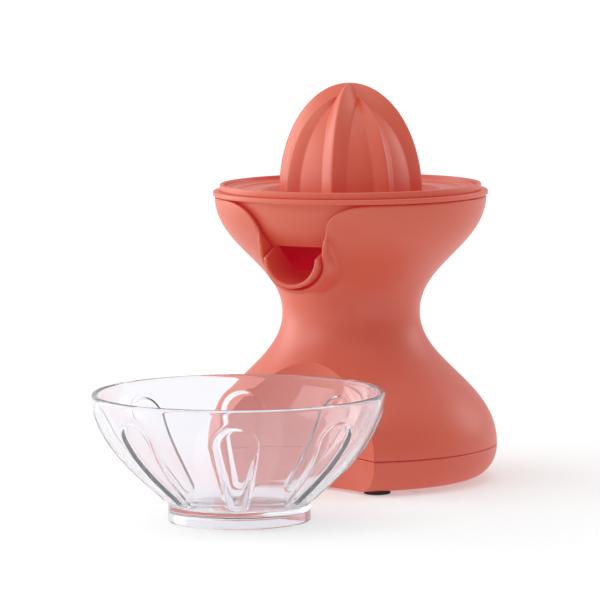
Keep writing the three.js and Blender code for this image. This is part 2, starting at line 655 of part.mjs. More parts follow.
add("strainer", strainer(), CORAL);

// ---- Reamer -------------------------------------------------------------------------------------
const RIB_STEP = 45; // degrees from a tall rib to the next short one

/** How much of a rib stands at a point, from 0 at its foot to 1 at its crest. */
const ribShare = (lateral, halfWidth) =>
  (halfWidth <= 0 ? 0 : Math.max(0, 1 - Math.abs(lateral) / halfWidth));

/** The dome's point at a turn in degrees and a rise from 0 at the foot to 1 at the tip. */
function domePoint(degrees, rise) {
  const lift = (rise * Math.PI) / 2;
  const near = REAMER_VALLEY_R * Math.cos(lift);
  const offset = (from) => {
    const turn = ((((degrees - from) % 90) + 135) % 90) - 45;
    return near * Math.sin(THREE.MathUtils.degToRad(turn));
  };
  const tall = ribShare(offset(0), REAMER_RIB_HALF_WIDTH);
  const shortRibWidth = REAMER_SHORT_RIB_HALF_WIDTH * (1 - (rise / 0.86) ** 3);
  const short = ribShare(offset(RIB_STEP), shortRibWidth);
  const r = REAMER_VALLEY_R + (REAMER_R - REAMER_VALLEY_R) * Math.max(tall, short);
  const h = Math.max(
    THREE.MathUtils.lerp(REAMER_VALLEY_H, REAMER_H, tall),
    THREE.MathUtils.lerp(REAMER_VALLEY_H, REAMER_SHORT_RIB_H, short),
  );
  const angle = THREE.MathUtils.degToRad(degrees);
  return [r * Math.cos(lift) * Math.cos(angle), r * Math.cos(lift) * Math.sin(angle),
    h * Math.sin(lift)];
}

function dome() {
  const turns = [0, 9.6, 18, 27, 36];
  const columns = [];
  for (let rib = 0; rib < 8; rib += 1) turns.forEach((turn) => columns.push(rib * RIB_STEP + turn));
  const rises = [0, 0.14, 0.28, 0.42, 0.55, 0.67, 0.77, 0.86, 0.93, 0.975];
  const points = [];
  rises.forEach((rise) => columns.forEach((turn) => points.push(...domePoint(turn, rise))));
  const tip = points.length / 3;
  points.push(0, 0, REAMER_H, 0, 0, 0);
  const index = [];
  columns.forEach((_, i) => {
    const next = (i + 1) % columns.length;
    for (let row = 0; row + 1 < rises.length; row += 1) {
      const [low, high] = [row * columns.length, (row + 1) * columns.length];
      index.push(low + i, low + next, high + next, low + i, high + next, high + i);
    }
    const last = (rises.length - 1) * columns.length;
    index.push(last + i, last + next, tip, next, i, tip + 1);
  });
  const geometry = new THREE.BufferGeometry();
  geometry.setAttribute("position", new THREE.Float32BufferAttribute(points, 3));
  geometry.setIndex(index);
  return solid(geometry);
}

function reamer() {
  const hollowR = REAMER_VALLEY_R - REAMER_WALL;
  const hollowH = REAMER_VALLEY_H - REAMER_WALL;
  const hollowLine = [[0, -1], [hollowR, -1]];
  for (let i = 0; i < 8; i += 1) {
    const lift = (i * Math.PI) / 16;
    hollowLine.push([hollowR * Math.cos(lift), hollowH * Math.sin(lift)]);
  }
  hollowLine.push([0, hollowH]);
  const socketLow = STRAINER_HUB_H - REAMER_GAP + 1;
  return dome().subtract(turned(hollowLine, ROUND / 2))
    .add(disc(REAMER_SOCKET_R, socketLow, hollowH + 1))
    .rotate([0, 0, REAMER_TURN - 90]).translate([0, 0, reamerLow])
    .subtract(raised(hexagon(SHAFT_R + SHAFT_CLEARANCE), reamerLow - 1, shaftTop + GAP));
}
add("reamer", reamer(), CORAL);

// ---- Clear bowl ---------------------------------------------------------------------------------
function bowl() {
  const floor = -FOOT_STAND;
  const line = curve(
    [BOWL_FOOT_R + 0.2, floor + BOWL_FOOT_H], [BOWL_FOOT_R + 8.7, floor + BOWL_FOOT_H + 9.5],
    [BOWL_R - 1.3, floor + BOWL_H - 25.5], [BOWL_R, floor + BOWL_H - 1], 7,
  );
  const inner = inset(line, BOWL_WALL).reverse();
  const bottom = floor + BOWL_FOOT_H - 1;
  const outline = [
    [0, bottom - BOWL_WALL], [BOWL_FOOT_R - 2.8, bottom - BOWL_WALL], [BOWL_FOOT_R - 2.8, floor],
    [BOWL_FOOT_R, floor], ...line, [BOWL_R - 0.6, floor + BOWL_H],
    [BOWL_R - BOWL_WALL + 0.6, floor + BOWL_H], ...inner.slice(0, -1),
    [BOWL_FOOT_R - 2, bottom], [0, bottom],
  ];
  return moved(turned(outline), ...BOWL_AT);
}
add("bowl", bowl(), CLEAR);

export default juicer;
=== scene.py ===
"""Looks of the citrus press juicer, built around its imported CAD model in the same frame."""
import json
import logging
import math
from dataclasses import dataclass, field
from enum import Enum
from typing import Callable, Sequence

import bpy
from mathutils import Matrix, Vector


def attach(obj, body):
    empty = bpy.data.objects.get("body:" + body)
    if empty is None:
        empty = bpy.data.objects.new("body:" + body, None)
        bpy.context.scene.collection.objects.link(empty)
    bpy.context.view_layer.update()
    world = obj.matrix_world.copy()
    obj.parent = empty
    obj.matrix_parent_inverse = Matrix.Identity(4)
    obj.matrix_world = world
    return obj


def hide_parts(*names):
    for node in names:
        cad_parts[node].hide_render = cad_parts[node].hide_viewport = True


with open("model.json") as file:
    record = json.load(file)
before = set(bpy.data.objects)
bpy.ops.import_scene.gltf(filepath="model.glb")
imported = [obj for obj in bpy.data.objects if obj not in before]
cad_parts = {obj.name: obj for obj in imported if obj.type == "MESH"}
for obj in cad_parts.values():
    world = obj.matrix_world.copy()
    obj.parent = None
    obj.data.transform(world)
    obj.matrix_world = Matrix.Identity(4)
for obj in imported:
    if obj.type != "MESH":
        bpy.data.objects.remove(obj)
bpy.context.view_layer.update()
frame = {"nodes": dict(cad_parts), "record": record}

logging.basicConfig(level=logging.INFO, format="%(name)s: %(message)s")
log = logging.getLogger("juicer")

MM = 0.001
Point = tuple[float, float]
Place = Callable[[float, float], Vector]


# ---- Curves and numbers ----------------------------------------------------------------------


def mix(a: float, b: float, share: float) -> float:
    """Returns the number that lies share of the way from a to b."""
    return a + (b - a) * share


def held(share: float) -> float:
    """Returns a share, held between 0 and 1."""
    return min(max(share, 0.0), 1.0)


def ease(low: float, high: float, value: float) -> float:
    """Returns 0 below low and 1 above high, with a smooth rise between them."""
    share = held((value - low) / (high - low))
    return share * share * (3 - 2 * share)


def bend(a: Point, b: Point, c: Point, d: Point, steps: int) -> list[Point]:
    """Samples a cubic curve.

    Args:
        a: First point.
        b: First handle.
        c: Second handle.
        d: Last point.
        steps: Number of stretches.

    Returns:
        steps + 1 points from a to d.
    """
    made = []
    for i in range(steps + 1):
        t = i / steps
        weights = ((1 - t) ** 3, 3 * (1 - t) ** 2 * t, 3 * (1 - t) * t * t, t**3)
        made.append(tuple(sum(w * p[k] for w, p in zip(weights, (a, b, c, d))) for k in (0, 1)))
    return made


def rounded(corners: Sequence[tuple[float, ...]], steps: int = 4) -> list[Point]:
    """Rounds the corners of an open outline.

    Args:
        corners: Points of two numbers, with a third for the corner's radius where it is rounded.
        steps: Stretches in each rounded corner.

    Returns:
        The outline's points.
    """
    made: list[Point] = []
    for i, corner in enumerate(corners):
        here = Vector(corner[:2])
        if len(corner) < 3 or i in (0, len(corners) - 1):
            made.append(tuple(here))
            continue
        before, after = Vector(corners[i - 1][:2]) - here, Vector(corners[i + 1][:2]) - here
        half = before.angle(after) / 2
        run = min(corner[2] / math.tan(half), before.length * 0.49, after.length * 0.49)
        start, end = here + before.normalized() * run, here + after.normalized() * run
        for k in range(steps + 1):
            t = k / steps
            made.append(tuple((1 - t) ** 2 * start + 2 * t * (1 - t) * here + t * t * end))
    return made


@dataclass(frozen=True)
class Line:
    """A rising outline that can be read at any height.

    Args:
        points: (radius, height) pairs with rising heights.
    """

    points: tuple[Point, ...]

    def radius(self, height: float) -> float:
        """Returns the radius at a height, with the ends held beyond them."""
        points = self.points
        if height <= points[0][1]:
            return points[0][0]
        low, high = 0, len(points) - 1
        while high - low > 1:
            middle = (low + high) // 2
            low, high = (middle, high) if points[middle][1] <= height else (low, middle)
        (r0, z0), (r1, z1) = points[low], points[high]
        return mix(r0, r1, min((height - z0) / (z1 - z0), 1.0))

    def inset(self, wall: float) -> "Line":
        """Returns the line moved towards the axis by a wall's thickness."""
        moved = []
        for i, (r, z) in enumerate(self.points):
            r0, z0 = self.points[max(i - 1, 0)]
            r1, z1 = self.points[min(i + 1, len(self.points) - 1)]
            length = math.hypot(r1 - r0, z1 - z0)
            moved.append((r - wall * (z1 - z0) / length, z + wall * (r1 - r0) / length))
        return Line(tuple(moved))

    def between(self, low: float, high: float, step: float = 1.5) -> list[Point]:
        """Returns (radius, height) points from low to high, about step apart in height."""
        count = max(int(abs(high - low) / step), 2)
        heights = [mix(low, high, i / count) for i in range(count + 1)]
        return [(self.radius(z), z) for z in heights]


def at_turn(radius: float, turn: float, height: float) -> Vector:
    """Returns the point at a radius and height, turned from the lip's side towards +X, in mm."""
    return Vector((radius * math.sin(turn), -radius * math.cos(turn), height))


# ---- Workbench: making and finishing meshes --------------------------------------------------


class Bench:
    """Operators of edit mode and modifiers, used as at the workbench."""

    @staticmethod
    def clear() -> None:
        """Leaves edit mode's selection and every object unselected."""
        if bpy.context.object and bpy.context.object.mode != "OBJECT":
            bpy.ops.object.mode_set(mode="OBJECT")
        bpy.ops.object.select_all(action="DESELECT")

    @staticmethod
    def hold(piece: bpy.types.Object) -> None:
        """Makes a piece the only selected and the active one."""
        Bench.clear()
        piece.select_set(True)
        bpy.context.view_layer.objects.active = piece

    @staticmethod
    def named(name: str) -> bpy.types.Object:
        """Names the piece just added, and its mesh, and returns it."""
        piece = bpy.context.object
        piece.name = piece.data.name = name
        return piece

    @staticmethod
    def place(piece: bpy.types.Object) -> bpy.types.Object:
        """Puts a piece's place, turn and scale in its mesh."""
        Bench.hold(piece)
        bpy.ops.object.transform_apply(location=True, rotation=True, scale=True)
        return piece

    @staticmethod
    def weld(piece: bpy.types.Object, gap: float = 0.01) -> bpy.types.Object:
        """Merges doubled points closer than gap mm and turns the faces outwards."""
        Bench.hold(piece)
        bpy.ops.object.mode_set(mode="EDIT")
        bpy.ops.mesh.select_all(action="SELECT")
        bpy.ops.mesh.remove_doubles(threshold=gap * MM)
        bpy.ops.mesh.normals_make_consistent(inside=False)
        bpy.ops.object.mode_set(mode="OBJECT")
        return piece

    @staticmethod
    def outline(name: str, points: Sequence[Vector]) -> bpy.types.Object:
        """Draws a chain of edges by extruding one point.

        Args:
            name: The piece's name.
            points: The chain's points in mm.

        Returns:
            The chain, in object mode.
        """
        Bench.clear()
        bpy.ops.mesh.primitive_plane_add(size=MM, location=(0, 0, 0))
        chain = Bench.named(name)
        bpy.ops.object.mode_set(mode="EDIT")
        bpy.ops.mesh.select_all(action="SELECT")
        bpy.ops.mesh.merge(type="CENTER")
        bpy.ops.transform.translate(value=points[0] * MM)
        for before, after in zip(points, points[1:]):
            bpy.ops.mesh.extrude_region_move(
                TRANSFORM_OT_translate={"value": (after - before) * MM}
            )
        bpy.ops.object.mode_set(mode="OBJECT")
        return chain

    @staticmethod
    def turned(name: str, profile: Sequence[Point], steps: int = 160) -> bpy.types.Object:
        """Spins a profile about +Z.

        Args:
            name: The piece's name.
            profile: (radius, height) points in mm that start and end on the axis, or close.
            steps: Stretches in the full turn.

        Returns:
            The closed piece.
        """
        loop = list(profile)
        if loop[0][0] > 0 or loop[-1][0] > 0:
            loop.append(loop[0])
        piece = Bench.outline(name, [Vector((r, 0, z)) for r, z in loop])
        bpy.ops.object.mode_set(mode="EDIT")
        bpy.ops.mesh.select_all(action="SELECT")
        bpy.ops.mesh.spin(steps=steps, angle=math.tau, center=(0, 0, 0), axis=(0, 0, 1))
        bpy.ops.object.mode_set(mode="OBJECT")
        return Bench.weld(piece, 0.002)

    @staticmethod
    def rolled(
        name: str, columns: int, rows: int, shape: Place, capped: bool = False
    ) -> bpy.types.Object:
        """Rolls a flat grid into a shape.

        Args:
            name: The piece's name.
            columns: Stretches round the shape.
            rows: Stretches along it.
            shape: Gives the point in mm at a place round and along it, both from 0 to 1.
            capped: Whether the open ends are filled.

        Returns:
            The closed piece.
        """
        Bench.clear()
        bpy.ops.mesh.primitive_grid_add(x_subdivisions=columns, y_subdivisions=rows, size=1)
        piece = Bench.named(name)
        for vertex in piece.data.vertices:
            vertex.co = shape(vertex.co.x + 0.5, vertex.co.y + 0.5) * MM
        if capped:
            Bench.weld(piece, 0.002)
            bpy.ops.object.mode_set(mode="EDIT")
            bpy.ops.mesh.select_all(action="SELECT")
            bpy.ops.mesh.fill_holes(sides=0)
            bpy.ops.object.mode_set(mode="OBJECT")
        return Bench.weld(piece, 0.002)

    @staticmethod
    def apply(piece: bpy.types.Object, kind: str, **settings: object) -> bpy.types.Object:
        """Adds a modifier, sets it and applies it."""
        Bench.hold(piece)
        modifier = piece.modifiers.new(kind.title(), kind)
        for key, value in settings.items():
            setattr(modifier, key, value)
        bpy.ops.object.modifier_apply(modifier=modifier.name)
        return piece

    @staticmethod
    def cut(piece: bpy.types.Object, tool: bpy.types.Object) -> bpy.types.Object:
        """Takes a tool's space out of a piece, and the tool away."""
        return Bench.combine(piece, tool, "DIFFERENCE")

    @staticmethod
    def join(piece: bpy.types.Object, other: bpy.types.Object) -> bpy.types.Object:
        """Adds another piece's space to a piece, and takes the other away."""
        return Bench.combine(piece, other, "UNION")

    @staticmethod
    def combine(
        piece: bpy.types.Object, other: bpy.types.Object, how: str
    ) -> bpy.types.Object:
        """Applies an exact boolean of two closed pieces and removes the second."""
        Bench.apply(piece, "BOOLEAN", operation=how, object=other, solver="EXACT")
        bpy.data.objects.remove(other)
        return piece

    @staticmethod
    def soften(piece: bpy.types.Object, width: float, angle: float = 40) -> bpy.types.Object:
        """Rounds the edges sharper than an angle, by a width in mm."""
        return Bench.apply(
            piece, "BEVEL", width=width * MM, segments=3, limit_method="ANGLE",
            angle_limit=math.radians(angle), use_clamp_overlap=True,
        )

    @staticmethod
    def smooth(piece: bpy.types.Object, angle: float = 35) -> bpy.types.Object:
        """Shades a piece smoothly, apart from the edges sharper than an angle."""
        Bench.hold(piece)
        bpy.ops.object.shade_smooth_by_angle(angle=math.radians(angle))
        return piece

    @staticmethod
    def rod(name: str, radius: float, low: float, high: float, sides: int = 64,
            at: Point = (0, 0)) -> bpy.types.Object:
        """Adds an upright rod between two heights, all in mm."""
        Bench.clear()
        bpy.ops.mesh.primitive_cylinder_add(
            vertices=sides, radius=radius * MM, depth=(high - low) * MM,
            location=(at[0] * MM, at[1] * MM, (low + high) / 2 * MM),
        )
        return Bench.place(Bench.named(name))


# ---- Shader maths ----------------------------------------------------------------------------


@dataclass(frozen=True)
class Signal:
    """A number on a node's output socket, which can be reckoned with."""

    shader: "Shader"
    socket: bpy.types.NodeSocket

    def _math(self, operation: str, *values: object) -> "Signal":
        """Adds a Math node of an operation on values, links or numbers."""
        return self.shader.node("ShaderNodeMath", {"operation": operation}, dict(enumerate(values)))

    def __add__(self, other: object) -> "Signal":
        """Returns the sum."""
        return self._math("ADD", self, other)

    def __sub__(self, other: object) -> "Signal":
        """Returns the difference."""
        return self._math("SUBTRACT", self, other)

    def __rsub__(self, other: object) -> "Signal":
        """Returns the other less this."""
        return self._math("SUBTRACT", other, self)

    def __mul__(self, other: object) -> "Signal":
        """Returns the product."""
        return self._math("MULTIPLY", self, other)

    __radd__ = __add__
    __rmul__ = __mul__


class Shader:
    """One material's nodes."""

    def __init__(self, name: str) -> None:
        """Makes an empty material with a Principled BSDF on its output."""
        self.material = bpy.data.materials.new(name)
        self.material.use_nodes = True
        self.tree = self.material.node_tree
        self.tree.nodes.clear()
        self.surface = self.tree.nodes.new("ShaderNodeBsdfPrincipled")
        output = self.tree.nodes.new("ShaderNodeOutputMaterial")
        self.tree.links.new(self.surface.outputs[0], output.inputs[0])
        self.coordinates = self.node("ShaderNodeTexCoord", {}, {}, "Object")

    def node(
        self, kind: str, settings: dict[str, object], inputs: dict[object, object],
        output: object = 0,
    ) -> Signal:
        """Adds a node.

        Args:
            kind: The node's type.
            settings: Its own properties, set first.
            inputs: Values or signals of its sockets, by name or number.
            output: The socket returned.

        Returns:
            The chosen output as a signal.
        """
        made = self.tree.nodes.new(kind)
        for key, value in settings.items():
            setattr(made, key, value)
        for key, value in inputs.items():
            self.feed(made.inputs[key], value)
        return Signal(self, made.outputs[output])

    def feed(self, socket: bpy.types.NodeSocket, value: object) -> None:
        """Links a signal to a socket, or sets the socket's own value."""
        if isinstance(value, Signal):
            self.tree.links.new(value.socket, socket)
        else:
            socket.default_value = value

    def set(self, **values: object) -> None:
        """Sets or links the surface's sockets, named with _ for a space."""
        for key, value in values.items():
            self.feed(self.surface.inputs[key.replace("_", " ")], value)

    def noise(self, scale: float, detail: float = 3, rough: float = 0.5) -> Signal:
        """Returns a noise of a scale in waves a metre, from 0 to 1."""
        return self.node(
            "ShaderNodeTexNoise", {}, {"Vector": self.coordinates, "Scale": scale,
                                       "Detail": detail, "Roughness": rough}, "Fac",
        )

    def blend(self, share: object, first: tuple, second: tuple) -> Signal:
        """Returns a colour between two by a share."""
        return self.node(
            "ShaderNodeMix", {"data_type": "RGBA"},
            {0: share, 6: (*first, 1), 7: (*second, 1)}, 2,
        )

    def bump(self, height: Signal, depth: float, strength: float = 1.0) -> Signal:
        """Returns a normal roughened by a height signal over a depth in mm."""
        return self.node(
            "ShaderNodeBump", {}, {"Height": height, "Distance": depth * MM, "Strength": strength},
        )


# ---- Finishes --------------------------------------------------------------------------------


@dataclass(frozen=True)
class SatinPlastic:
    """Moulded satin plastic with a fine sparked grain.

    Args:
        name: The material's name.
        colour: Its colour.
        shade: The colour of its slightly darker flow marks.
        roughness: Its mean roughness.
        grain: Depth of the grain in mm.
        painted_glow: A painted red glow it gives off as emission, standing in for the light that
            comes through the plastic.
    """

    name: str
    colour: tuple[float, float, float]
    shade: tuple[float, float, float]
    roughness: float = 0.42
    grain: float = 0.02
    painted_glow: tuple[float, float, float] = (0.0, 0.0, 0.0)

    def make(self) -> bpy.types.Material:
        """Returns the material."""
        shader = Shader(self.name)
        drift = shader.noise(14, 2)
        speckle = shader.noise(1400, 2)
        # Emission_Color paints a glow that lifts the plastic's shade towards red, standing in for
        # light through the plastic.
        shader.set(
            Base_Color=shader.blend(drift, self.colour, self.shade),
            Roughness=speckle * 0.08 + drift * 0.05 + (self.roughness - 0.065),
            Normal=shader.bump(speckle * 0.7 + shader.noise(420, 3) * 0.3, self.grain, 0.35),
            Emission_Color=(*self.painted_glow, 1), Emission_Strength=1.0,
        )
        return shader.material


@dataclass(frozen=True)
class ClearPlastic:
    """Clear moulded styrene with a faint cool tint."""

    name: str = "clear_moulding"
    tint: tuple[float, float, float] = (0.97, 0.965, 1.0)

    def make(self) -> bpy.types.Material:
        """Returns the material."""
        shader = Shader(self.name)
        shader.set(
            Base_Color=(*self.tint, 1), Transmission_Weight=0.93, IOR=1.4,
            Roughness=shader.noise(60, 2) * 0.02 + 0.005,
            Normal=shader.bump(shader.noise(45, 1), 0.05, 0.12),
        )
        return shader.material


@dataclass(frozen=True)
class Metal:
    """Turned or drawn metal with fine tool marks across its axis."""

    name: str
    colour: tuple[float, float, float]
    roughness: float = 0.3

    def make(self) -> bpy.types.Material:
        """Returns the material."""
        shader = Shader(self.name)
        lines = shader.node(
            "ShaderNodeTexWave", {"bands_direction": "Z"},
            {"Vector": shader.coordinates, "Scale": 900.0, "Distortion": 1.5, "Detail": 2.0}, "Fac",
        )
        stain = shader.noise(120, 3)
        darker = tuple(0.82 * c for c in self.colour)
        shader.set(
            Base_Color=shader.blend(stain, self.colour, darker), Metallic=1.0,
            Roughness=stain * 0.16 + lines * 0.05 + (self.roughness - 0.1),
            Normal=shader.bump(lines, 0.01, 0.2),
        )
        return shader.material


@dataclass(frozen=True)
class Winding:
    """Varnished copper wire wound in layers."""

    name: str = "wound_copper"

    def make(self) -> bpy.types.Material:
        """Returns the material."""
        shader = Shader(self.name)
        turns_and_groove_shade = shader.node(
            "ShaderNodeTexWave", {"bands_direction": "Z"},
            {"Vector": shader.coordinates, "Scale": 420.0, "Distortion": 0.6}, "Fac",
        )
        # The darker copper in the wave's troughs, the grooves between the turns, is painted shade;
        # the same wave gives the turns' bump.
        shader.set(
            Base_Color=shader.blend(turns_and_groove_shade, (0.18, 0.06, 0.02), (0.72, 0.3, 0.12)), Metallic=0.9,
            Roughness=turns_and_groove_shade * 0.1 + 0.28, Normal=shader.bump(turns_and_groove_shade, 0.2, 0.8),
        )
        return shader.material


class Finish(Enum):
    """The finishes used on the juicer."""

    # Coral's last colour is its painted glow, an emission that lifts its shaded areas towards red.
    CORAL = SatinPlastic("satin_coral", (0.50, 0.132, 0.070), (0.47, 0.117, 0.060), 0.40, 0.02,
                         (0.17, 0.001, 0.007))
    CLEAR = ClearPlastic()
    RUBBER = SatinPlastic("soft_rubber", (0.022, 0.02, 0.019), (0.035, 0.03, 0.03), 0.8, 0.06)
    NYLON = SatinPlastic("pale_nylon", (0.78, 0.76, 0.68), (0.7, 0.67, 0.58), 0.5, 0.03)
    BLACK = SatinPlastic("dark_moulding", (0.03, 0.03, 0.032), (0.045, 0.044, 0.043), 0.48, 0.04)
    STEEL = Metal("turned_steel", (0.62, 0.63, 0.65))
    COPPER = Winding()

    @property
    def material(self) -> bpy.types.Material:
        """The finish's material, made once."""
        return bpy.data.materials.get(self.value.name) or self.value.make()


SLOTS: dict[str, Finish] = {
    "coral_plastic": Finish.CORAL, "clear_plastic": Finish.CLEAR, "rubber": Finish.RUBBER,
    "white_nylon": Finish.NYLON, "black_plastic": Finish.BLACK, "steel": Finish.STEEL,
    "copper_winding": Finish.COPPER,
}


def dress(piece: bpy.types.Object, slot: str) -> None:
    """Gives a piece its slot's finish all over."""
    piece.data.materials.clear()
    piece.data.materials.append(SLOTS[slot].material)


def fit(piece: bpy.types.Object, body: str, slot: str, node: str) -> None:
    """Finishes a piece and puts it on its body in place of a CAD node.

    Args:
        piece: The finished mesh.
        body: The body it rides on.
        slot: Its material slot.
        node: The CAD node it replaces.
    """
    dress(piece, slot)
    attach(piece, body)
    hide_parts(node)
    log.info("%s rides on %s, %d faces", piece.name, body, len(piece.data.polygons))


# ---- The body's shared lines -----------------------------------------------------------------


@dataclass(frozen=True)
class Form:
    """Sizes in mm shared by the housing, the tray and what stands in them."""

    base_r: float = 72.0
    base_flat_r: float = 58.0
    seam_z: float = 16.0
    waist_r: float = 34.0
    waist_z: float = 81.5
    rim_r: float = 67.0
    rim_z: float = 139.2
    wall: float = 2.4
    gap: float = 0.3
    deck_z: float = 97.6
    bowl_r: float = 68.3
    recess_depth_r: float = 43.0
    recess_play: float = 0.7
    lip_r: float = 15.0
    lip_z: float = 113.3
    lip_wall: float = 2.0
    lip_reach: float = 62.0
    lip_top_z: float = 118.0
    foot_stand: float = 1.5

    @property
    def body(self) -> Line:
        """The outer line from the seam over the waist to the rim."""
        skirt = bend(
            (self.base_r, self.seam_z), (self.base_r, self.seam_z + 30.5),
            (self.waist_r, self.waist_z - 26), (self.waist_r, self.waist_z), 60,
        )
        cup = bend(
            (self.waist_r, self.waist_z), (self.waist_r, self.waist_z + 24),
            (self.rim_r, self.rim_z - 24.7), (self.rim_r, self.rim_z), 60,
        )
        return Line((*skirt, *cup[1:]))

    @property
    def tray(self) -> Line:
        """The outer line from the flat underside to the seam."""
        return Line(tuple(bend(
            (self.base_flat_r, 0), (self.base_flat_r + 8, 0), (self.base_r, 0.4 * self.seam_z),
            (self.base_r, self.seam_z), 24,
        )))

    @property
    def recess_r(self) -> float:
        """Radius of the front recess."""
        return self.bowl_r + self.recess_play

    @property
    def recess_y(self) -> float:
        """Distance of the recess's centre line in front of the axis, as a negative number."""
        return -(self.recess_depth_r + self.recess_r)

    def recess_tool(self, name: str, wall: float = 0) -> bpy.types.Object:
        """Returns the rod that the recess, or the recess with its wall, is cut with."""
        return Bench.rod(name, self.recess_r + wall, -10, self.waist_z, 512, (0, self.recess_y))

    def recess_reach(self, turn: float, wall: float) -> float:
        """Returns how far from the axis the recess lets a wall's far side go at a turn."""
        across = self.recess_y * math.sin(turn)
        radius = self.recess_r + wall
        if math.cos(turn) <= 0 or abs(across) >= radius:
            return math.inf
        return -self.recess_y * math.cos(turn) - math.sqrt(radius**2 - across**2)


FORM = Form()


# ---- Housing and base tray -------------------------------------------------------------------


@dataclass
class Housing:
    """The hourglass shell with its front notch, lip collar and bowl recess.

    Args:
        collar_play: Room between the lip and the collar.
        collar_wall: The collar's wall.
        collar_reach: How far in front of the axis the collar's edge stands.
        setback: How much further back its lower edge is.
        fillet: Radius where the collar leaves the body.
        notch_half: Half the notch's width at the rim.
        edge: Radius of the rounded rim.
        boss_r: Radius of the shaft's boss on the deck.
        boss_z: Height of its top.
        bore_r: Radius of its bore.
        columns: Stretches round the shell.
    """

    collar_play: float = 0.9
    collar_wall: float = 2.2
    collar_reach: float = 60.8
    setback: float = 3.5
    fillet: float = 1.6
    notch_half: float = 43.0
    edge: float = 1.15
    boss_r: float = 8.2
    boss_z: float = 118.0
    bore_r: float = 6.8
    columns: int = 416
    notch: list[tuple[float, float, float, float]] = field(default_factory=list)

    CUP_ROWS = 34
    LIP_ROWS = 10
    SKIN_ROWS = 88

    def __post_init__(self) -> None:
        """Draws half of the notch's outline with its outward normals."""
        radius = FORM.lip_r + self.collar_play
        arc = [(radius * math.sin(a), FORM.lip_z - radius * math.cos(a))
               for a in (math.pi / 2 * i / 40 for i in range(41))]
        side = (radius + 0.4, FORM.lip_z + 5.7)
        sway = bend(side, (radius + 2.4, FORM.rim_z - 14.2), (radius + 0.6, FORM.rim_z),
                    (self.notch_half, FORM.rim_z), 48)
        rise = [(mix(arc[-1][0], side[0], i / 8), mix(arc[-1][1], side[1], i / 8))
                for i in range(1, 8)]
        points = [*arc, *rise, *sway]
        for i, (x, z) in enumerate(points):
            x0, z0 = points[max(i - 1, 0)]
            x1, z1 = points[min(i + 1, len(points) - 1)]
            length = math.hypot(x1 - x0, z1 - z0)
            across, up = ((z1 - z0) / length, -(x1 - x0) / length) if i else (0.0, -1.0)
            self.notch.append((x, z, across, up))
        self.lengths = [0.0]
        for (x0, z0, *_), (x1, z1, *_) in zip(self.notch, self.notch[1:]):
            self.lengths.append(self.lengths[-1] + math.hypot(x1 - x0, z1 - z0))
        self.corner_turn = math.asin(self.notch_half / FORM.rim_r)
        rim = (math.pi - self.corner_turn) * FORM.rim_r
        self.notch_share = self.lengths[-1] / (self.lengths[-1] + rim)
        self.outer, self.inner = FORM.body, FORM.body.inset(FORM.wall)

    def edge_at(self, way: float) -> tuple[float, float, float, float, float]:
        """Returns the top edge's sideways place, height, normal and turn at a way round it."""
        if way >= self.notch_share:
            turn = mix(self.corner_turn, math.pi, (way - self.notch_share) / (1 - self.notch_share))
            return 0.0, FORM.rim_z, 0.0, -1.0, turn
        target = way / self.notch_share * self.lengths[-1]
        i = max(1, next(k for k, s in enumerate(self.lengths) if s >= target - 1e-9))
        share = (target - self.lengths[i - 1]) / (self.lengths[i] - self.lengths[i - 1])
        x, z, nx, nz = (mix(a, b, share) for a, b in zip(self.notch[i - 1], self.notch[i]))
        return x, z, nx, nz, -1.0

    def front(self, height: float) -> float:
        """Returns how far in front of the axis the collar's edge stands at a height."""
        low = 1 - ease(FORM.lip_z - 8, FORM.lip_z + 3, height)
        return self.collar_reach - self.setback * low

    def on_edge(
        self, way: float, offset: float, radius: Callable[[float], float], stand: float = 0,
        back: float = 0,
    ) -> Vector:
        """Returns a point of the shell by its place on the edge.

        Args:
            way: Way round the edge.
            offset: How far it is set into the shell, square to the edge.
            radius: Its radius by height.
            stand: Share by which it stands in the collar's front instead, from 0 to 1.
            back: How far behind the collar's front it is then.
        """
        x, z, nx, nz, turn = self.edge_at(way)
        height = z + nz * offset
        r = radius(height)
        if turn >= 0:
            return at_turn(r, turn, height)
        x += nx * offset
        on_body = at_turn(r, math.asin(min(x / r, 1.0)), height)
        return on_body.lerp(Vector((x, back - self.front(height), height)), stand)

    def column(self, way: float) -> list[Vector]:
        """Returns one column of the shell, from the boss over the lip and down to the seam."""
        x, z, _, _, turn = self.edge_at(way)
        depth = self.front(z) - math.sqrt(max(self.outer.radius(z) ** 2 - x * x, 0))
        stand = ease(-1.5, 3.0, depth) * (1 - ease(22, 30, x)) if turn < 0 else 0.0
        half = mix(self.edge, self.collar_wall / 2, stand)
        front_offset = mix(self.edge, self.collar_wall, stand)
        back_offset = mix(self.edge, 0.0, stand)
        front = self.on_edge(way, front_offset, self.outer.radius, stand, half)
        back = self.on_edge(way, back_offset, self.inner.radius, stand, half)
        middle = (front + back) / 2
        opening = self.on_edge(way, 0.0, self.outer.radius) - self.on_edge(
            way, 1.0, self.outer.radius)
        bulge = (opening.normalized() * (1 - stand) + Vector((0, -1, 0)) * stand).normalized()
        lip = []
        for i in range(1, self.LIP_ROWS):
            angle = math.pi * i / self.LIP_ROWS
            lip.append(middle + (back - middle) * math.cos(angle) + bulge * half * math.sin(angle))
        inside = self.cup_side(way, back_offset, back)
        outside = self.skin_side(way, front_offset, front)
        return [*inside, *lip, *outside]

    def cup_side(self, way: float, offset: float, back: Vector) -> list[Vector]:
        """Returns the stretch from the deck up the cup and out along the channel to the lip."""
        meet = self.on_edge(way, offset, self.inner.radius)
        low = min(FORM.deck_z, meet.z)
        meet_turn = math.atan2(meet.x, -meet.y)
        base_turn = way * math.pi
        path = []
        for i in range(41):
            share = i / 40
            height = mix(low, meet.z, share)
            turn = mix(base_turn, meet_turn, ease(0, 1, share))
            path.append(at_turn(self.inner.radius(height), turn, height))
        path.append(back)
        return self.resampled(path, self.CUP_ROWS, 1.0)

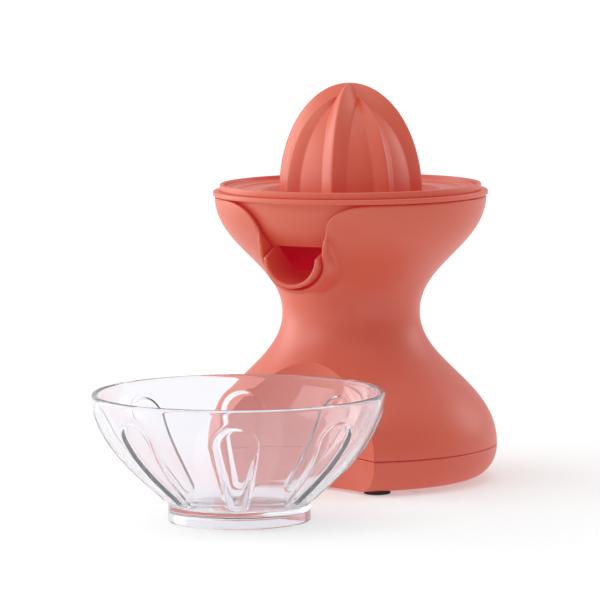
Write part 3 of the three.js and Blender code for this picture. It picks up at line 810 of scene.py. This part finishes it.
    def skin_side(self, way: float, offset: float, front: Vector) -> list[Vector]:
        """Returns the stretch from the lip back along the collar and down the body to the seam."""
        radius = self.outer.radius
        depth = math.hypot(front.x, front.y) - radius(front.z)
        fillet = self.fillet * ease(0.5, 5.0, depth)
        path = [front]
        if fillet > 0:
            for i in range(7):
                angle = math.pi / 2 * i / 6
                aside, up = fillet * (1 - math.sin(angle)), fillet * (1 - math.cos(angle))
                path.append(self.on_edge(
                    way, offset + up, lambda h, a=aside: radius(h) + a * min(1, depth / 5)))
        foot = path[-1]
        foot_turn, base_turn = math.atan2(foot.x, -foot.y), way * math.pi
        low = FORM.seam_z + FORM.gap
        for i in range(1, 101):
            share = i / 100
            height = mix(foot.z, low, share)
            turn = mix(foot_turn, base_turn, ease(0, 1, share))
            path.append(at_turn(radius(height), turn, height))
        return self.resampled(path, self.SKIN_ROWS, 1.35)

    @staticmethod
    def resampled(path: Sequence[Vector], rows: int, crowd: float) -> list[Vector]:
        """Returns rows + 1 points along a path, closer together at its start if crowd is over 1."""
        lengths = [0.0]
        for a, b in zip(path, path[1:]):
            lengths.append(lengths[-1] + (b - a).length)
        made, k = [], 1
        for i in range(rows + 1):
            target = lengths[-1] * (i / rows) ** crowd
            while k < len(path) - 1 and lengths[k] < target:
                k += 1
            span = max(lengths[k] - lengths[k - 1], 1e-9)
            made.append(path[k - 1].lerp(path[k], min((target - lengths[k - 1]) / span, 1.0)))
        return made

    def underside(self, turn: float) -> list[Vector]:
        """Returns the hidden stretch from the seam up the motor room and down the boss's bore."""
        low, deck_under = FORM.seam_z + FORM.gap, FORM.deck_z - FORM.wall
        recess = FORM.recess_reach(turn, FORM.wall)
        points = []
        for height in (low, 24, 34, 44, 54, 64, 74, 84, deck_under):
            reach = self.inner.radius(max(height, low))
            if height < FORM.waist_z:
                reach = min(reach, recess)
            points.append(at_turn(reach, turn, height))
        corners = ((self.bore_r, deck_under), (self.bore_r, self.boss_z - 0.4),
                   (self.bore_r + 0.4, self.boss_z), (self.boss_r - 0.4, self.boss_z),
                   (self.boss_r, self.boss_z - 0.4), (self.boss_r, FORM.deck_z + 1),
                   (self.boss_r + 1, FORM.deck_z))
        return [*points, *(at_turn(r, turn, z) for r, z in corners)]

    def build(self) -> bpy.types.Object:
        """Makes the shell and cuts the recess into it."""
        half = self.columns // 2
        table = []
        for i in range(half + 1):
            way = i / half
            loop = [*self.column(way), *self.underside(way * math.pi)]
            table.append([*loop, loop[0]])
        rows = len(table[0]) - 1

        def shape(around: float, along: float) -> Vector:
            """Gives the shell's point, mirrored on the far half."""
            i = round(around * self.columns)
            point = table[min(i, self.columns - i)][round(along * rows)].copy()
            if i > half:
                point.x = -point.x
            return point

        shell = Bench.rolled("housing_shell", self.columns, rows, shape)
        Bench.cut(shell, FORM.recess_tool("recess_tool"))
        return Bench.smooth(Bench.weld(shell, 0.02), 32)

    def dress(self) -> None:
        """Builds the shell, finishes it and puts it in its place."""
        fit(self.build(), "body", "coral_plastic", "housing")


@dataclass
class BaseTray:
    """The coral underpart with its feet and the cord's grommet.

    Args:
        foot_r: A foot's radius.
        foot_pocket: Depth of its pocket.
        feet: Where the feet stand.
        screw_wells: Where the screws go in.
        well_r: Radius of a screw's well.
        gland_z: Height of the cord's hole.
        gland_bore: Its radius.
        gland_neck: Radius of the grommet's neck.
    """

    foot_r: float = 6.5
    foot_pocket: float = 1.2
    feet: tuple[Point, ...] = ((-36, -42), (36, -42), (-38, 38), (38, 38))
    screw_wells: tuple[Point, ...] = ((-50, -29), (50, -29), (-44, 30), (44, 30))
    well_r: float = 3.6
    gland_z: float = 10.0
    gland_bore: float = 3.4
    gland_neck: float = 5.0

    def build_tray(self) -> bpy.types.Object:
        """Turns the tray and cuts its recess, pockets, wells and the cord's hole."""
        high = FORM.seam_z - FORM.gap / 2
        edge = [(FORM.base_r, high - 0.5), (FORM.base_r - 0.4, high), (0, high)]
        tray = Bench.turned("tray_shell", [(0, 0), *FORM.tray.points[:-1], *edge], 256)
        inner = FORM.tray.inset(FORM.wall).between(FORM.wall + 0.2, high + 2, 1.2)
        room = Bench.turned("tray_room", [(0, FORM.wall), *inner, (0, high + 2)], 256)
        Bench.cut(room, FORM.recess_tool("recess_wall_tool", FORM.wall))
        Bench.cut(tray, room)
        Bench.cut(tray, FORM.recess_tool("tray_recess_tool"))
        for x, y in self.feet:
            Bench.cut(tray, Bench.rod("pocket", self.foot_r + 0.3, -1, self.foot_pocket + 0.3, 48,
                                      (x, y)))
        for x, y in self.screw_wells:
            Bench.cut(tray, Bench.rod("well", self.well_r, -1, 1.7, 32, (x, y)))
        hole = Bench.rod("cord_hole", self.gland_neck + 0.3, 60, FORM.base_r + 5, 48)
        Bench.cut(tray, self.laid_back(hole))
        return Bench.smooth(Bench.weld(tray, 0.02), 32)

    def laid_back(self, piece: bpy.types.Object) -> bpy.types.Object:
        """Lays an upright round piece along +Y, at the height of the cord's hole."""
        piece.data.transform(Matrix.Translation((0, 0, self.gland_z * MM))
                             @ Matrix.Rotation(-math.pi / 2, 4, "X"))
        return piece

    def build_foot(self, index: int, at: Point) -> bpy.types.Object:
        """Makes one rubber foot, domed a little at its rim."""
        foot = Bench.rod(f"foot_{index}", self.foot_r, -FORM.foot_stand, self.foot_pocket, 48, at)
        return Bench.smooth(Bench.soften(foot, 0.5), 30)

    def build_gland(self) -> bpy.types.Object:
        """Turns the cord's grommet and lays it along +Y in the rear wall."""
        inside, outside = FORM.base_r - 10.76, FORM.base_r
        profile = rounded([
            (self.gland_bore, inside), (self.gland_neck + 1, inside, 0.4),
            (self.gland_neck + 1, inside + 1.5, 0.4), (self.gland_neck, inside + 1.5),
            (self.gland_neck, outside, 0.8), (self.gland_bore, outside, 0.5),
            (self.gland_bore, outside - 3),
        ])
        return Bench.smooth(self.laid_back(Bench.turned("cord_grommet", profile, 64)), 40)

    def dress(self) -> None:
        """Builds, finishes and places the tray, its feet and the grommet."""
        fit(self.build_tray(), "body", "coral_plastic", "base_tray")
        for index, at in enumerate(self.feet, 1):
            fit(self.build_foot(index, at), "body", "rubber", f"rubber_foot_{index}")
        fit(self.build_gland(), "body", "rubber", "cord_gland")


# ---- Collector -------------------------------------------------------------------------------


@dataclass
class Collector:
    """The juice cup with its flange and U-shaped pouring lip.

    Args:
        play: Room between the cup and the housing.
        wall: The cup's wall.
        floor_z: Height of its underside.
        flange_r: The flange's radius.
        flange_t: Its thickness.
        tube_r: Inner radius of the middle tube.
        tube_top: Height of the tube's top.
        drop: How much lower the lip's sides are at the front.
        slope: Length of their sloping stretch.
        back_y: Where the channel starts inside the cup.
        scoop_y: Where the channel's floor has levelled out.
        scoop: How much it has come down by then.
    """

    play: float = 1.0
    wall: float = 1.8
    floor_z: float = 103.0
    flange_r: float = 67.8
    flange_t: float = 2.4
    tube_r: float = 8.6
    tube_top: float = 136.0
    drop: float = 6.0
    slope: float = 14.0
    back_y: float = -25.0
    scoop_y: float = -40.0
    scoop: float = 5.6

    @property
    def flange_low(self) -> float:
        """Height of the flange's underside."""
        return FORM.rim_z + FORM.gap

    def section(self, radius: float, around: float, y: float) -> Vector:
        """Returns a point of the channel's U.

        Args:
            radius: The U's radius.
            around: Way round it, from one side's top to the other's, from 0 to 1.
            y: Where along the channel.
        """
        top = FORM.lip_top_z - self.drop * (1 - held((y + FORM.lip_reach) / self.slope))
        centre = FORM.lip_z + self.scoop * ease(self.scoop_y, self.back_y, y)
        straight = top - centre
        start = math.asin(min(-straight / radius, 1.0)) if straight < 0 else 0.0
        straight = max(straight, 0.0)
        arc = (math.pi - 2 * start) * radius
        way = around * (arc + 2 * straight)
        if way < straight or way > straight + arc:
            side = -1 if way < straight else 1
            rise = straight - way if way < straight else way - straight - arc
            return Vector((side * (radius + 0.16 * rise), y, centre + rise))
        angle = start + (way - straight) / radius
        return Vector((-radius * math.cos(angle), y, centre - radius * math.sin(angle)))

    def build_lip(self) -> bpy.types.Object:
        """Makes the channel's sheet with a rounded edge all round."""
        half = FORM.lip_wall / 2
        middle = FORM.lip_r - half
        round_rows, rows = 5, 45

        def shape(around: float, along: float) -> Vector:
            """Gives the sheet's point: inside, over one edge, outside, over the other."""
            around %= 1
            row = round(along * rows)
            angle = math.pi / 2 * min(row / round_rows, 1.0)
            thick = half * max(math.sin(angle), 0.04)
            straight = max(row - round_rows, 0) / (rows - round_rows)
            y = -FORM.lip_reach + half * (1 - math.cos(angle))
            y = mix(y, self.back_y, straight)
            if around % 0.5 < 0.44:
                share = (around % 0.5) / 0.44
                inside = around < 0.5
                return self.section(middle + (-thick if inside else thick),
                                    share if inside else 1 - share, y)
            side = 1 if around < 0.5 else 0
            centre = self.section(middle, side, y)
            start = self.section(middle + (-thick if side else thick), side, y)
            angle = math.pi * (around % 0.5 - 0.44) / 0.06
            return (centre + (start - centre) * math.cos(angle)
                    + Vector((0, 0, thick)) * math.sin(angle))

        return Bench.rolled("pouring_lip", 200, rows, shape, capped=True)

    def build_passage(self) -> bpy.types.Object:
        """Makes the space inside the channel, which opens the cup's wall and floor."""
        radius = FORM.lip_r - FORM.lip_wall + 0.03

        def shape(around: float, along: float) -> Vector:
            """Gives the space's point: the U, then straight across its top."""
            y = mix(-FORM.lip_reach + 5, self.back_y + 0.5, along)
            if around < 0.75:
                point = self.section(radius, around / 0.75, y)
            else:
                left, right = self.section(radius, 0, y), self.section(radius, 1, y)
                point = right.lerp(left, (around - 0.75) / 0.25)
            if around in (0, 1) or around >= 0.75:
                point.z = max(point.z, FORM.lip_top_z)
            return point

        return Bench.rolled("passage", 96, 40, shape, capped=True)

    def room_profile(self) -> list[Point]:
        """Returns the profile of the space inside the cup."""
        inner = FORM.body.inset(FORM.wall + self.play + self.wall)
        floor = self.floor_z + self.wall
        rim = self.flange_low + self.flange_t
        side = [(inner.radius(z), z) for z in
                [floor + 3 + i * 2.0 for i in range(int((rim - floor - 3) / 2.0))]]
        tube = self.tube_r + self.wall
        corner = rounded([(tube + 8, floor), (side[0][0] - 2.5, floor, 4.0), side[0], side[1]])
        foot = rounded([(tube, floor + 8), (tube, floor, 3.0), (tube + 8, floor)])
        top = [(0, self.tube_top), (tube - 0.5, self.tube_top), (tube, self.tube_top - 0.5)]
        return [*top, *foot, *corner, *side[2:], (side[-1][0], rim + 3), (0, rim + 3)]

    def build(self) -> bpy.types.Object:
        """Turns the cup, adds the lip and opens the passage."""
        outer = FORM.body.inset(FORM.wall + self.play)
        rim = self.flange_low + self.flange_t
        side = outer.between(self.floor_z + 2, self.flange_low - 1.2, 1.6)
        profile = [
            (self.tube_r, self.floor_z), (side[0][0] - 4.0, self.floor_z),
            (side[0][0] - 1.4, self.floor_z + 0.6), *side,
            *rounded([
                (side[-1][0], self.flange_low - 1), (side[-1][0] + 0.6, self.flange_low, 0.4),
                (self.flange_r, self.flange_low, 0.6), (self.flange_r, rim, 0.9),
                (self.flange_r - 3.0, rim),
            ]),
            (self.flange_r - 6, rim), (self.tube_r, rim),
        ]
        cup = Bench.join(Bench.turned("juice_cup", profile, 256), self.build_lip())
        Bench.cut(cup, Bench.turned("cup_room", self.room_profile(), 256))
        Bench.cut(cup, self.build_passage())
        return Bench.smooth(Bench.weld(cup, 0.02), 35)

    def dress(self) -> None:
        """Builds, finishes and places the collector."""
        fit(self.build(), "collector", "coral_plastic", "collector")


# ---- Strainer --------------------------------------------------------------------------------


@dataclass
class Strainer:
    """The dished strainer with its ring and juice slots.

    Args:
        ring_r: Radius of the upper ring.
        ring_h: Height of the ring above the flange.
        shelf_r: Outer radius of the shelf inside the ring.
        step: From the shelf up to the ring's foot.
        dish: Radii of the foot and the top of the slope down to the dish.
        depth: Depth of the dish.
        floor_t: Thickness of the floor.
        skirt_r: Radius of the skirt in the cup.
        skirt_h: Its height.
        hub_r: Inner radius of the hub.
        hub_h: Its height.
        slots: Number of slots.
        slot_r: Radii of a slot's ends.
    """

    ring_r: float = 64.5
    ring_h: float = 3.0
    shelf_r: float = 54.0
    step: float = 0.8
    dish: tuple[float, float] = (40.0, 44.0)
    depth: float = 4.2
    floor_t: float = 1.6
    skirt_r: float = 61.2
    skirt_h: float = 4.6
    hub_r: float = 9.0
    hub_h: float = 10.0
    slots: int = 20
    slot_r: tuple[float, float] = (24.0, 42.5)

    @property
    def low(self) -> float:
        """Height of the shelf, on the collector's flange."""
        return FORM.rim_z + 2 * FORM.gap + 2.4

    def profile(self) -> list[Point]:
        """Returns the closed profile with its rounded edges."""
        low, dish, slope = self.low, *self.dish
        floor, top, skirt = low - self.depth, low + self.ring_h, low - self.skirt_h
        under, hub = floor - self.floor_t, self.hub_r
        return rounded([
            (hub, under), (dish, under, 2), (slope, low - self.floor_t, 2),
            (self.skirt_r - 1.6, low - self.floor_t), (self.skirt_r - 1.6, skirt, 0.3),
            (self.skirt_r, skirt, 0.3), (self.skirt_r, low - 0.22, 0.1),
            (self.ring_r, low - 0.22, 0.25),
            (self.ring_r, top, 0.8), (self.ring_r - 1.9, top, 0.8),
            (self.ring_r - 2.2, low + self.step, 0.4), (self.ring_r - 3.4, low + self.step, 0.2),
            (self.ring_r - 3.6, low + self.step + 0.7, 0.3),
            (self.ring_r - 4.6, low + self.step + 0.7, 0.3),
            (self.ring_r - 4.9, low + self.step, 0.3), (self.shelf_r + 0.8, low + self.step, 0.3),
            (self.shelf_r, low, 0.4), (slope, low, 2.0), (dish, floor, 2.0),
            (hub + 2, floor, 0.8), (hub + 2, floor + self.hub_h, 0.5),
            (hub, floor + self.hub_h, 0.5), (hub, floor + 1),
        ])

    def build_slot(self, index: int) -> bpy.types.Object:
        """Makes the tool of one slot, with rounded ends."""
        start, end = self.slot_r
        Bench.clear()
        bpy.ops.mesh.primitive_cube_add(
            size=MM, location=((start + end) / 2 * MM, 0, (self.low - 3) * MM),
            scale=(end - start, 2.0, 14),
        )
        tool = Bench.place(Bench.named(f"slot_tool_{index}"))
        Bench.apply(tool, "BEVEL", width=0.9 * MM, segments=3, affect="EDGES",
                    limit_method="ANGLE", angle_limit=math.radians(30))
        tool.data.transform(Matrix.Rotation(math.tau * (index + 0.5) / self.slots, 4, "Z"))
        return tool

    def build(self) -> bpy.types.Object:
        """Turns the strainer and cuts its slots."""
        strainer = Bench.turned("strainer_dish", self.profile(), 256)
        for index in range(self.slots):
            Bench.cut(strainer, self.build_slot(index))
        return Bench.smooth(Bench.weld(strainer, 0.02), 35)

    def dress(self) -> None:
        """Builds, finishes and places the strainer."""
        fit(self.build(), "strainer", "coral_plastic", "strainer")


# ---- Reamer ----------------------------------------------------------------------------------


@dataclass
class Reamer:
    """The ribbed dome that squeezes the fruit, hollow, with a hexagonal socket.

    Args:
        foot_z: Height of its foot.
        crest_r: Radius at a rib's crest.
        crest_h: Height of the tall ribs.
        valley_r: Radius between the ribs.
        valley_h: Height of the dome between the ribs.
        short_h: Height of the short ribs.
        tall_half: Half the width of a tall rib.
        short_half: Half the width of a short rib at its foot.
        turn: Turn of the first tall rib from the lip, in degrees.
        wall: Thickness under the valleys.
        socket_r: Radius of the socket's post.
        shaft_r: Corner radius of the shaft's hexagon.
        socket_z: Height of the socket's upper end.
    """

    foot_z: float = 141.0
    crest_r: float = 36.5
    crest_h: float = 53.8
    valley_r: float = 32.5
    valley_h: float = 45.9
    short_h: float = 48.2
    tall_half: float = 5.8
    short_half: float = 5.4
    turn: float = 13.5
    wall: float = 2.6
    socket_r: float = 8.0
    shaft_r: float = 4.5
    socket_z: float = 174.3

    @staticmethod
    def rib(lateral: float, half: float) -> float:
        """Returns how much of a rib stands there: 1 at its crest, 0 beyond its foot."""
        if half <= 0.05:
            return 0.0
        crest = 0.45
        ramp = 1 + crest / half - math.hypot(lateral, crest) / half
        foot = 0.06
        return (ramp + math.hypot(ramp, foot) - foot) / 2 if ramp > -0.5 else 0.0

    def point(self, degrees: float, rise: float) -> Vector:
        """Returns the dome's point at a turn from a tall rib, and a rise from 0 to 1."""
        lift = rise * math.pi / 2
        near = self.valley_r * math.cos(lift)

        def lateral(start: float) -> float:
            """Gives the distance from the nearest rib of a set."""
            turn = (degrees - start + 45) % 90 - 45
            return near * math.sin(math.radians(turn))

        tall = min(self.rib(lateral(0), self.tall_half), 1.0)
        shrink = max(1 - (rise / 0.86) ** 3, 0.0)
        short = min(self.rib(lateral(45), self.short_half * shrink), 1.0)
        radius = mix(self.valley_r, self.crest_r, max(tall, short))
        height = max(mix(self.valley_h, self.crest_h, tall),
                     mix(self.valley_h, self.short_h, short))
        angle = math.radians(degrees + self.turn)
        return at_turn(radius * math.cos(lift), angle, self.foot_z + height * math.sin(lift))

    def build(self) -> bpy.types.Object:
        """Rolls the ribbed dome with its hollow, and adds the socket."""
        hollow_r, hollow_h = self.valley_r - self.wall, self.valley_h - self.wall
        outer_rows, inner_rows = 132, 24
        rows = outer_rows + inner_rows + 2

        def shape(around: float, along: float) -> Vector:
            """Gives the dome's point from the tip down, round the foot and up the hollow."""
            row = round(along * rows)
            degrees = around * 360
            if row <= outer_rows:
                return self.point(degrees, 1 - (row / outer_rows))
            if row == outer_rows + 1:
                foot = self.point(degrees, 0)
                inner = at_turn(hollow_r, math.radians(degrees + self.turn), self.foot_z)
                return foot.lerp(inner, 0.5)
            lift = math.pi / 2 * (row - outer_rows - 2) / inner_rows
            return at_turn(hollow_r * math.cos(lift), math.radians(degrees + self.turn),
                           self.foot_z + hollow_h * math.sin(lift))

        dome = Bench.rolled("reamer_dome", 480, rows, shape)
        post = Bench.rod("socket_post", self.socket_r, self.foot_z + 10.5,
                         self.foot_z + hollow_h + 1, 64)
        Bench.join(dome, post)
        socket = Bench.rod("socket_tool", self.shaft_r + 0.4, self.foot_z - 1,
                           self.socket_z, 6)
        socket.data.transform(Matrix.Rotation(math.pi / 6, 4, "Z"))
        Bench.cut(dome, socket)
        return Bench.smooth(Bench.weld(dome, 0.01), 38)

    def dress(self) -> None:
        """Builds, finishes and places the reamer."""
        fit(self.build(), "reamer", "coral_plastic", "reamer")


# ---- Drive shaft -----------------------------------------------------------------------------


@dataclass
class Shaft:
    """The hexagonal drive shaft with its journal and spring collar, its bush and its seal.

    Args:
        radius: Corner radius of the hexagon and radius of the journal.
        ends: Heights of the shaft's ends.
        journal: Heights of the journal's ends.
        collar: Radius of the spring's collar and heights of its faces.
        bush: Radii of the bush's bore and outside.
        boss_r: Radius of the boss under the seal.
        bush_top: Height of the bush's top.
        seal_z: Height of the seal's underside.
    """

    radius: float = 4.5
    ends: tuple[float, float] = (22.0, 174.0)
    journal: tuple[float, float] = (88.0, 126.0)
    collar: tuple[float, float, float] = (8.0, 76.0, 78.0)
    bush: tuple[float, float] = (4.9, 6.5)
    boss_r: float = 8.2
    bush_top: float = 117.0
    seal_z: float = 118.3

    def build_shaft(self) -> bpy.types.Object:
        """Makes the hexagonal bar, chamfered at its ends, with its journal and collar."""
        bar = Bench.rod("hexagonal_shaft", self.radius, *self.ends, 6)
        bar.data.transform(Matrix.Rotation(math.pi / 6, 4, "Z"))
        Bench.soften(bar, 0.35)
        Bench.join(bar, Bench.rod("journal", self.radius, *self.journal, 64))
        radius, low, high = self.collar
        Bench.join(bar, Bench.soften(Bench.rod("collar", radius, low, high, 64), 0.3))
        return Bench.smooth(bar, 30)

    @staticmethod
    def build_ring(name: str, corners: list[tuple[float, ...]]) -> bpy.types.Object:
        """Turns a small ring from its rounded corners."""
        return Bench.smooth(Bench.turned(name, rounded(corners), 64), 35)

    def dress(self) -> None:
        """Builds, finishes and places the shaft, its bush and its seal."""
        fit(self.build_shaft(), "shaft", "steel", "drive_shaft")
        bore, outside = self.bush
        low, top = FORM.deck_z - FORM.wall, self.bush_top
        bush = self.build_ring("shaft_sleeve", [
            (bore, low), (outside, low, 0.2), (outside, top, 0.4), (bore, top, 0.4),
            (bore, low + 1)])
        fit(bush, "body", "white_nylon", "shaft_bush")
        low = self.seal_z
        seal = self.build_ring("shaft_lip_seal", [
            (bore, low), (self.boss_r - 0.4, low, 0.3), (self.boss_r - 0.4, low + 1.5, 0.5),
            (bore + 0.9, low + 3.1, 0.5), (bore, low + 3.1, 0.3), (bore, low + 1)])
        fit(seal, "body", "rubber", "shaft_seal")


# ---- Clear bowl ------------------------------------------------------------------------------


@dataclass
class Bowl:
    """The clear bowl with its foot ring and embossed petals.

    Args:
        at: Where it stands.
        radius: Its rim's radius.
        height: Its height.
        foot_r: Radius of the foot ring.
        foot_h: Height of the foot ring.
        wall: Its wall.
        petals: Number of petals.
        first: Turn of the first petal from the lip's direction, in degrees.
        petal_low: Way up the wall to the middle of a petal's narrow end, in mm.
        petal_high: Way up the wall to the middle of its wide end.
        petal_r: Radii of the narrow and the wide end.
        bead: Height of the bead round a petal.
        scoop: Depth of the petal inside it.
    """

    at: Point = (16.0, -142.0)
    radius: float = 68.3
    height: float = 60.0
    foot_r: float = 33.3
    foot_h: float = 8.5
    wall: float = 2.4
    petals: int = 8
    first: float = 28.0
    petal_low: float = 5.0
    petal_high: float = 46.0
    petal_r: tuple[float, float] = (4.2, 10.0)
    bead: float = 0.55
    scoop: float = 0.8

    def side(self) -> list[Point]:
        """Returns the outer line from the foot to the rim."""
        low, high = self.foot_h - FORM.foot_stand, self.height - FORM.foot_stand
        return bend((self.foot_r + 0.2, low), (self.foot_r + 8.7, low + 9.5),
                    (self.radius - 1.3, high - 25.5), (self.radius, high - 1), 96)

    def relief(self, turn: float, radius: float, up: float) -> float:
        """Returns how far the wall's outside stands out at a turn and a way up the wall."""
        step = math.tau / self.petals
        swing = (turn - math.radians(self.first) + step / 2) % step - step / 2
        across = abs(radius * swing)
        share = held((up - self.petal_low) / (self.petal_high - self.petal_low))
        centre = mix(self.petal_low, self.petal_high, share)
        away = math.hypot(across, up - centre) - mix(*self.petal_r, share)
        fade = ease(-1.5, 3.0, up)
        bead = self.bead * math.exp(-((away / 0.75) ** 2))
        return fade * (bead - self.scoop * ease(0.3, -2.8, away))

    def build(self) -> bpy.types.Object:
        """Rolls the bowl from the middle of its floor, over the rim and down to its underside."""
        floor = -FORM.foot_stand
        line = self.side()
        inner = Line(tuple(line)).inset(self.wall).points
        ups = [0.0]
        for (r0, z0), (r1, z1) in zip(line, line[1:]):
            ups.append(ups[-1] + math.hypot(r1 - r0, z1 - z0))
        bottom = floor + self.foot_h - 1
        rim_r = self.wall / 2
        rim_centre = (self.radius - rim_r, floor + self.height - rim_r)
        rim = [(rim_centre[0] - rim_r * math.cos(a), rim_centre[1] + rim_r * math.sin(a))
               for a in (math.pi * i / 8 for i in range(1, 8))]
        inside = rounded([(0, bottom), (10, bottom), (inner[4][0] - 3, bottom, 3), inner[8]], 6)
        wall_in = [p for p in inner[9:] if p[1] < rim_centre[1]]
        wall_out = [(r, z, up) for (r, z), up in zip(line, ups) if z < rim_centre[1]]
        under = rounded([
            (self.foot_r, floor + self.foot_h - 1), (self.foot_r, floor, 0.7),
            (self.foot_r - 2.8, floor, 0.7), (self.foot_r - 2.8, bottom - self.wall, 1.0),
            (12, bottom - self.wall), (0, bottom - self.wall)], 4)
        profile = [
            *((r, z, None) for r, z in (*inside, *wall_in, *rim)), *reversed(wall_out),
            *((r, z, None) for r, z in under),
        ]
        rows = len(profile) - 1

        def shape(around: float, along: float) -> Vector:
            """Gives the bowl's point, with the petals in its outside."""
            radius, height, up = profile[round(along * rows)]
            turn = around * math.tau
            if up is not None:
                out = self.relief(turn, radius, up)
                k = min(max(int(up / ups[-1] * (len(line) - 1)), 1), len(line) - 1)
                dr, dz = line[k][0] - line[k - 1][0], line[k][1] - line[k - 1][1]
                length = math.hypot(dr, dz)
                radius, height = radius + out * dz / length, height - out * dr / length
            return at_turn(radius, turn, height) + Vector((*self.at, 0))

        return Bench.smooth(Bench.rolled("bowl_clear", 480, rows, shape), 60)

    def dress(self) -> None:
        """Builds, finishes and places the bowl."""
        fit(self.build(), "bowl", "clear_plastic", "bowl")


# ---- Workings inside -------------------------------------------------------------------------


class Workings:
    """The CAD pieces that stay as they are, each with its real finish."""

    def dress(self) -> None:
        """Finishes every CAD node by its material slot."""
        for part in frame["record"]["subparts"]:
            dress(frame["nodes"][part["node"]], part["material_slot"])
        log.info("%d CAD nodes dressed", len(frame["nodes"]))


# ---- Studio ----------------------------------------------------------------------------------


@dataclass
class Studio:
    """The camera, the pale floor and the soft light.

    Args:
        azimuth: The camera's turn from the lip's side, in degrees.
        distance: Its distance from the axis, in metres.
        height: Its height above the floor, in metres.
        pitch: How far it looks down, in degrees.
        yaw: How far it looks to the left of the axis, in degrees.
        roll: Its roll, in degrees.
        lens: Its lens in mm on a 36 mm sensor.
    """

    azimuth: float = 28.0
    distance: float = 2.093
    height: float = 0.3072
    pitch: float = 5.96
    yaw: float = 0.691
    roll: float = 0.41
    lens: float = 255.3

    def aim_camera(self) -> None:
        """Puts the camera where it stands."""
        turn, down, roll = (math.radians(a) for a in (self.azimuth, self.pitch, self.roll))
        aim = turn + math.radians(self.yaw)
        forward = Vector((-math.sin(aim) * math.cos(down), math.cos(aim) * math.cos(down),
                          -math.sin(down)))
        right = forward.cross(Vector((0, 0, 1))).normalized()
        up = right.cross(forward)
        right, up = (right * math.cos(roll) - up * math.sin(roll),
                     right * math.sin(roll) + up * math.cos(roll))
        data = bpy.data.cameras.new("camera")
        data.lens, data.sensor_width = self.lens, 36.0
        data.clip_end = 50
        camera = bpy.data.objects.new("camera", data)
        bpy.context.scene.collection.objects.link(camera)
        camera.matrix_world = Matrix.Translation((
            self.distance * math.sin(turn), -self.distance * math.cos(turn),
            self.height - FORM.foot_stand * MM,
        )) @ Matrix((right, up, -forward)).transposed().to_4x4()
        bpy.context.scene.camera = camera

    @staticmethod
    def lay_floor() -> None:
        """Lays the pale floor."""
        Bench.clear()
        bpy.ops.mesh.primitive_plane_add(size=14, location=(0, 0, -FORM.foot_stand * MM))
        floor = Bench.place(Bench.named("floor"))
        shader = Shader("floor_paper")
        away = shader.node("ShaderNodeVectorMath", {"operation": "LENGTH"},
                           {"Vector": shader.coordinates}, "Value")
        shader.set(Base_Color=(0.62, 0.63, 0.63, 1), Roughness=0.7, Specular_IOR_Level=0.1,
                   Emission_Color=shader.blend(away * 0.5 - 0.15, (0.38,) * 3, (0.66,) * 3),
                   Emission_Strength=1.0)
        floor.data.materials.append(shader.material)

    def sky(self) -> None:
        """Lights the room all round, brightest on the left and behind."""
        world = bpy.data.worlds.new("room")
        bpy.context.scene.world = world
        world.use_nodes = True
        nodes, links = world.node_tree.nodes, world.node_tree.links
        nodes.clear()
        where = nodes.new("ShaderNodeTexCoord")
        dot = nodes.new("ShaderNodeVectorMath")
        dot.operation = "DOT_PRODUCT"
        dark = math.radians(self.azimuth + 32)
        dot.inputs[1].default_value = (math.sin(dark) * 0.95, -math.cos(dark) * 0.95, 0.1)
        ramp = nodes.new("ShaderNodeMapRange")
        ramp.interpolation_type = "SMOOTHSTEP"
        for key, value in (("From Min", 0.15), ("From Max", 0.95), ("To Min", 0.72),
                           ("To Max", 0.28)):
            ramp.inputs[key].default_value = value
        path = nodes.new("ShaderNodeLightPath")
        seen = nodes.new("ShaderNodeMath")
        seen.operation = "MAXIMUM"
        links.new(path.outputs["Is Camera Ray"], seen.inputs[0])
        links.new(path.outputs["Is Transmission Ray"], seen.inputs[1])
        light = nodes.new("ShaderNodeMath")
        light.operation = "MAXIMUM"
        links.new(ramp.outputs["Result"], light.inputs[0])
        links.new(seen.outputs[0], light.inputs[1])
        back = nodes.new("ShaderNodeBackground")
        back.inputs["Color"].default_value = (1, 1, 1, 1)
        out = nodes.new("ShaderNodeOutputWorld")
        links.new(where.outputs["Generated"], dot.inputs[0])
        links.new(dot.outputs["Value"], ramp.inputs["Value"])
        links.new(light.outputs[0], back.inputs["Strength"])
        links.new(back.outputs[0], out.inputs[0])

    def lamp(self, name: str, turn: float, rise: float, away: float, size: float,
             power: float) -> None:
        """Hangs one soft box, aimed at the juicer.

        Args:
            name: The lamp's name.
            turn: Its direction from the camera's, in degrees, to the right.
            rise: Its angle above the floor, in degrees.
            away: Its distance in metres.
            size: Its width and height in metres.
            power: Its power in watts.
        """
        data = bpy.data.lights.new(name, "AREA")
        data.shape, data.size, data.energy = "SQUARE", size, power
        lamp = bpy.data.objects.new(name, data)
        bpy.context.scene.collection.objects.link(lamp)
        a, e = math.radians(self.azimuth + turn), math.radians(rise)
        back = Vector((math.sin(a) * math.cos(e), -math.cos(a) * math.cos(e), math.sin(e)))
        lamp.matrix_world = Matrix.Translation(back * away + Vector((0, 0, 0.08))) @ (
            back.to_track_quat("Z", "Y").to_matrix().to_4x4())

    def dress(self) -> None:
        """Sets up the camera, the floor and the lights."""
        self.aim_camera()
        self.lay_floor()
        self.sky()
        self.lamp("left_box", -68, 24, 1.5, 0.9, 5)
        self.lamp("edge_box", -112, 16, 1.4, 1.0, 9)
        self.lamp("top_box", -10, 78, 1.6, 1.6, 7)
        self.lamp("right_box", 118, 20, 1.8, 0.8, 4)
        bpy.context.scene.view_settings.view_transform = "Standard"


def main() -> None:
    """Builds the sub-assemblies in order."""
    Studio().dress()
    Workings().dress()
    for part in (Housing(), BaseTray(), Collector(), Strainer(), Reamer(), Shaft(), Bowl()):
        part.dress()


if __name__ == "__main__":
    main()
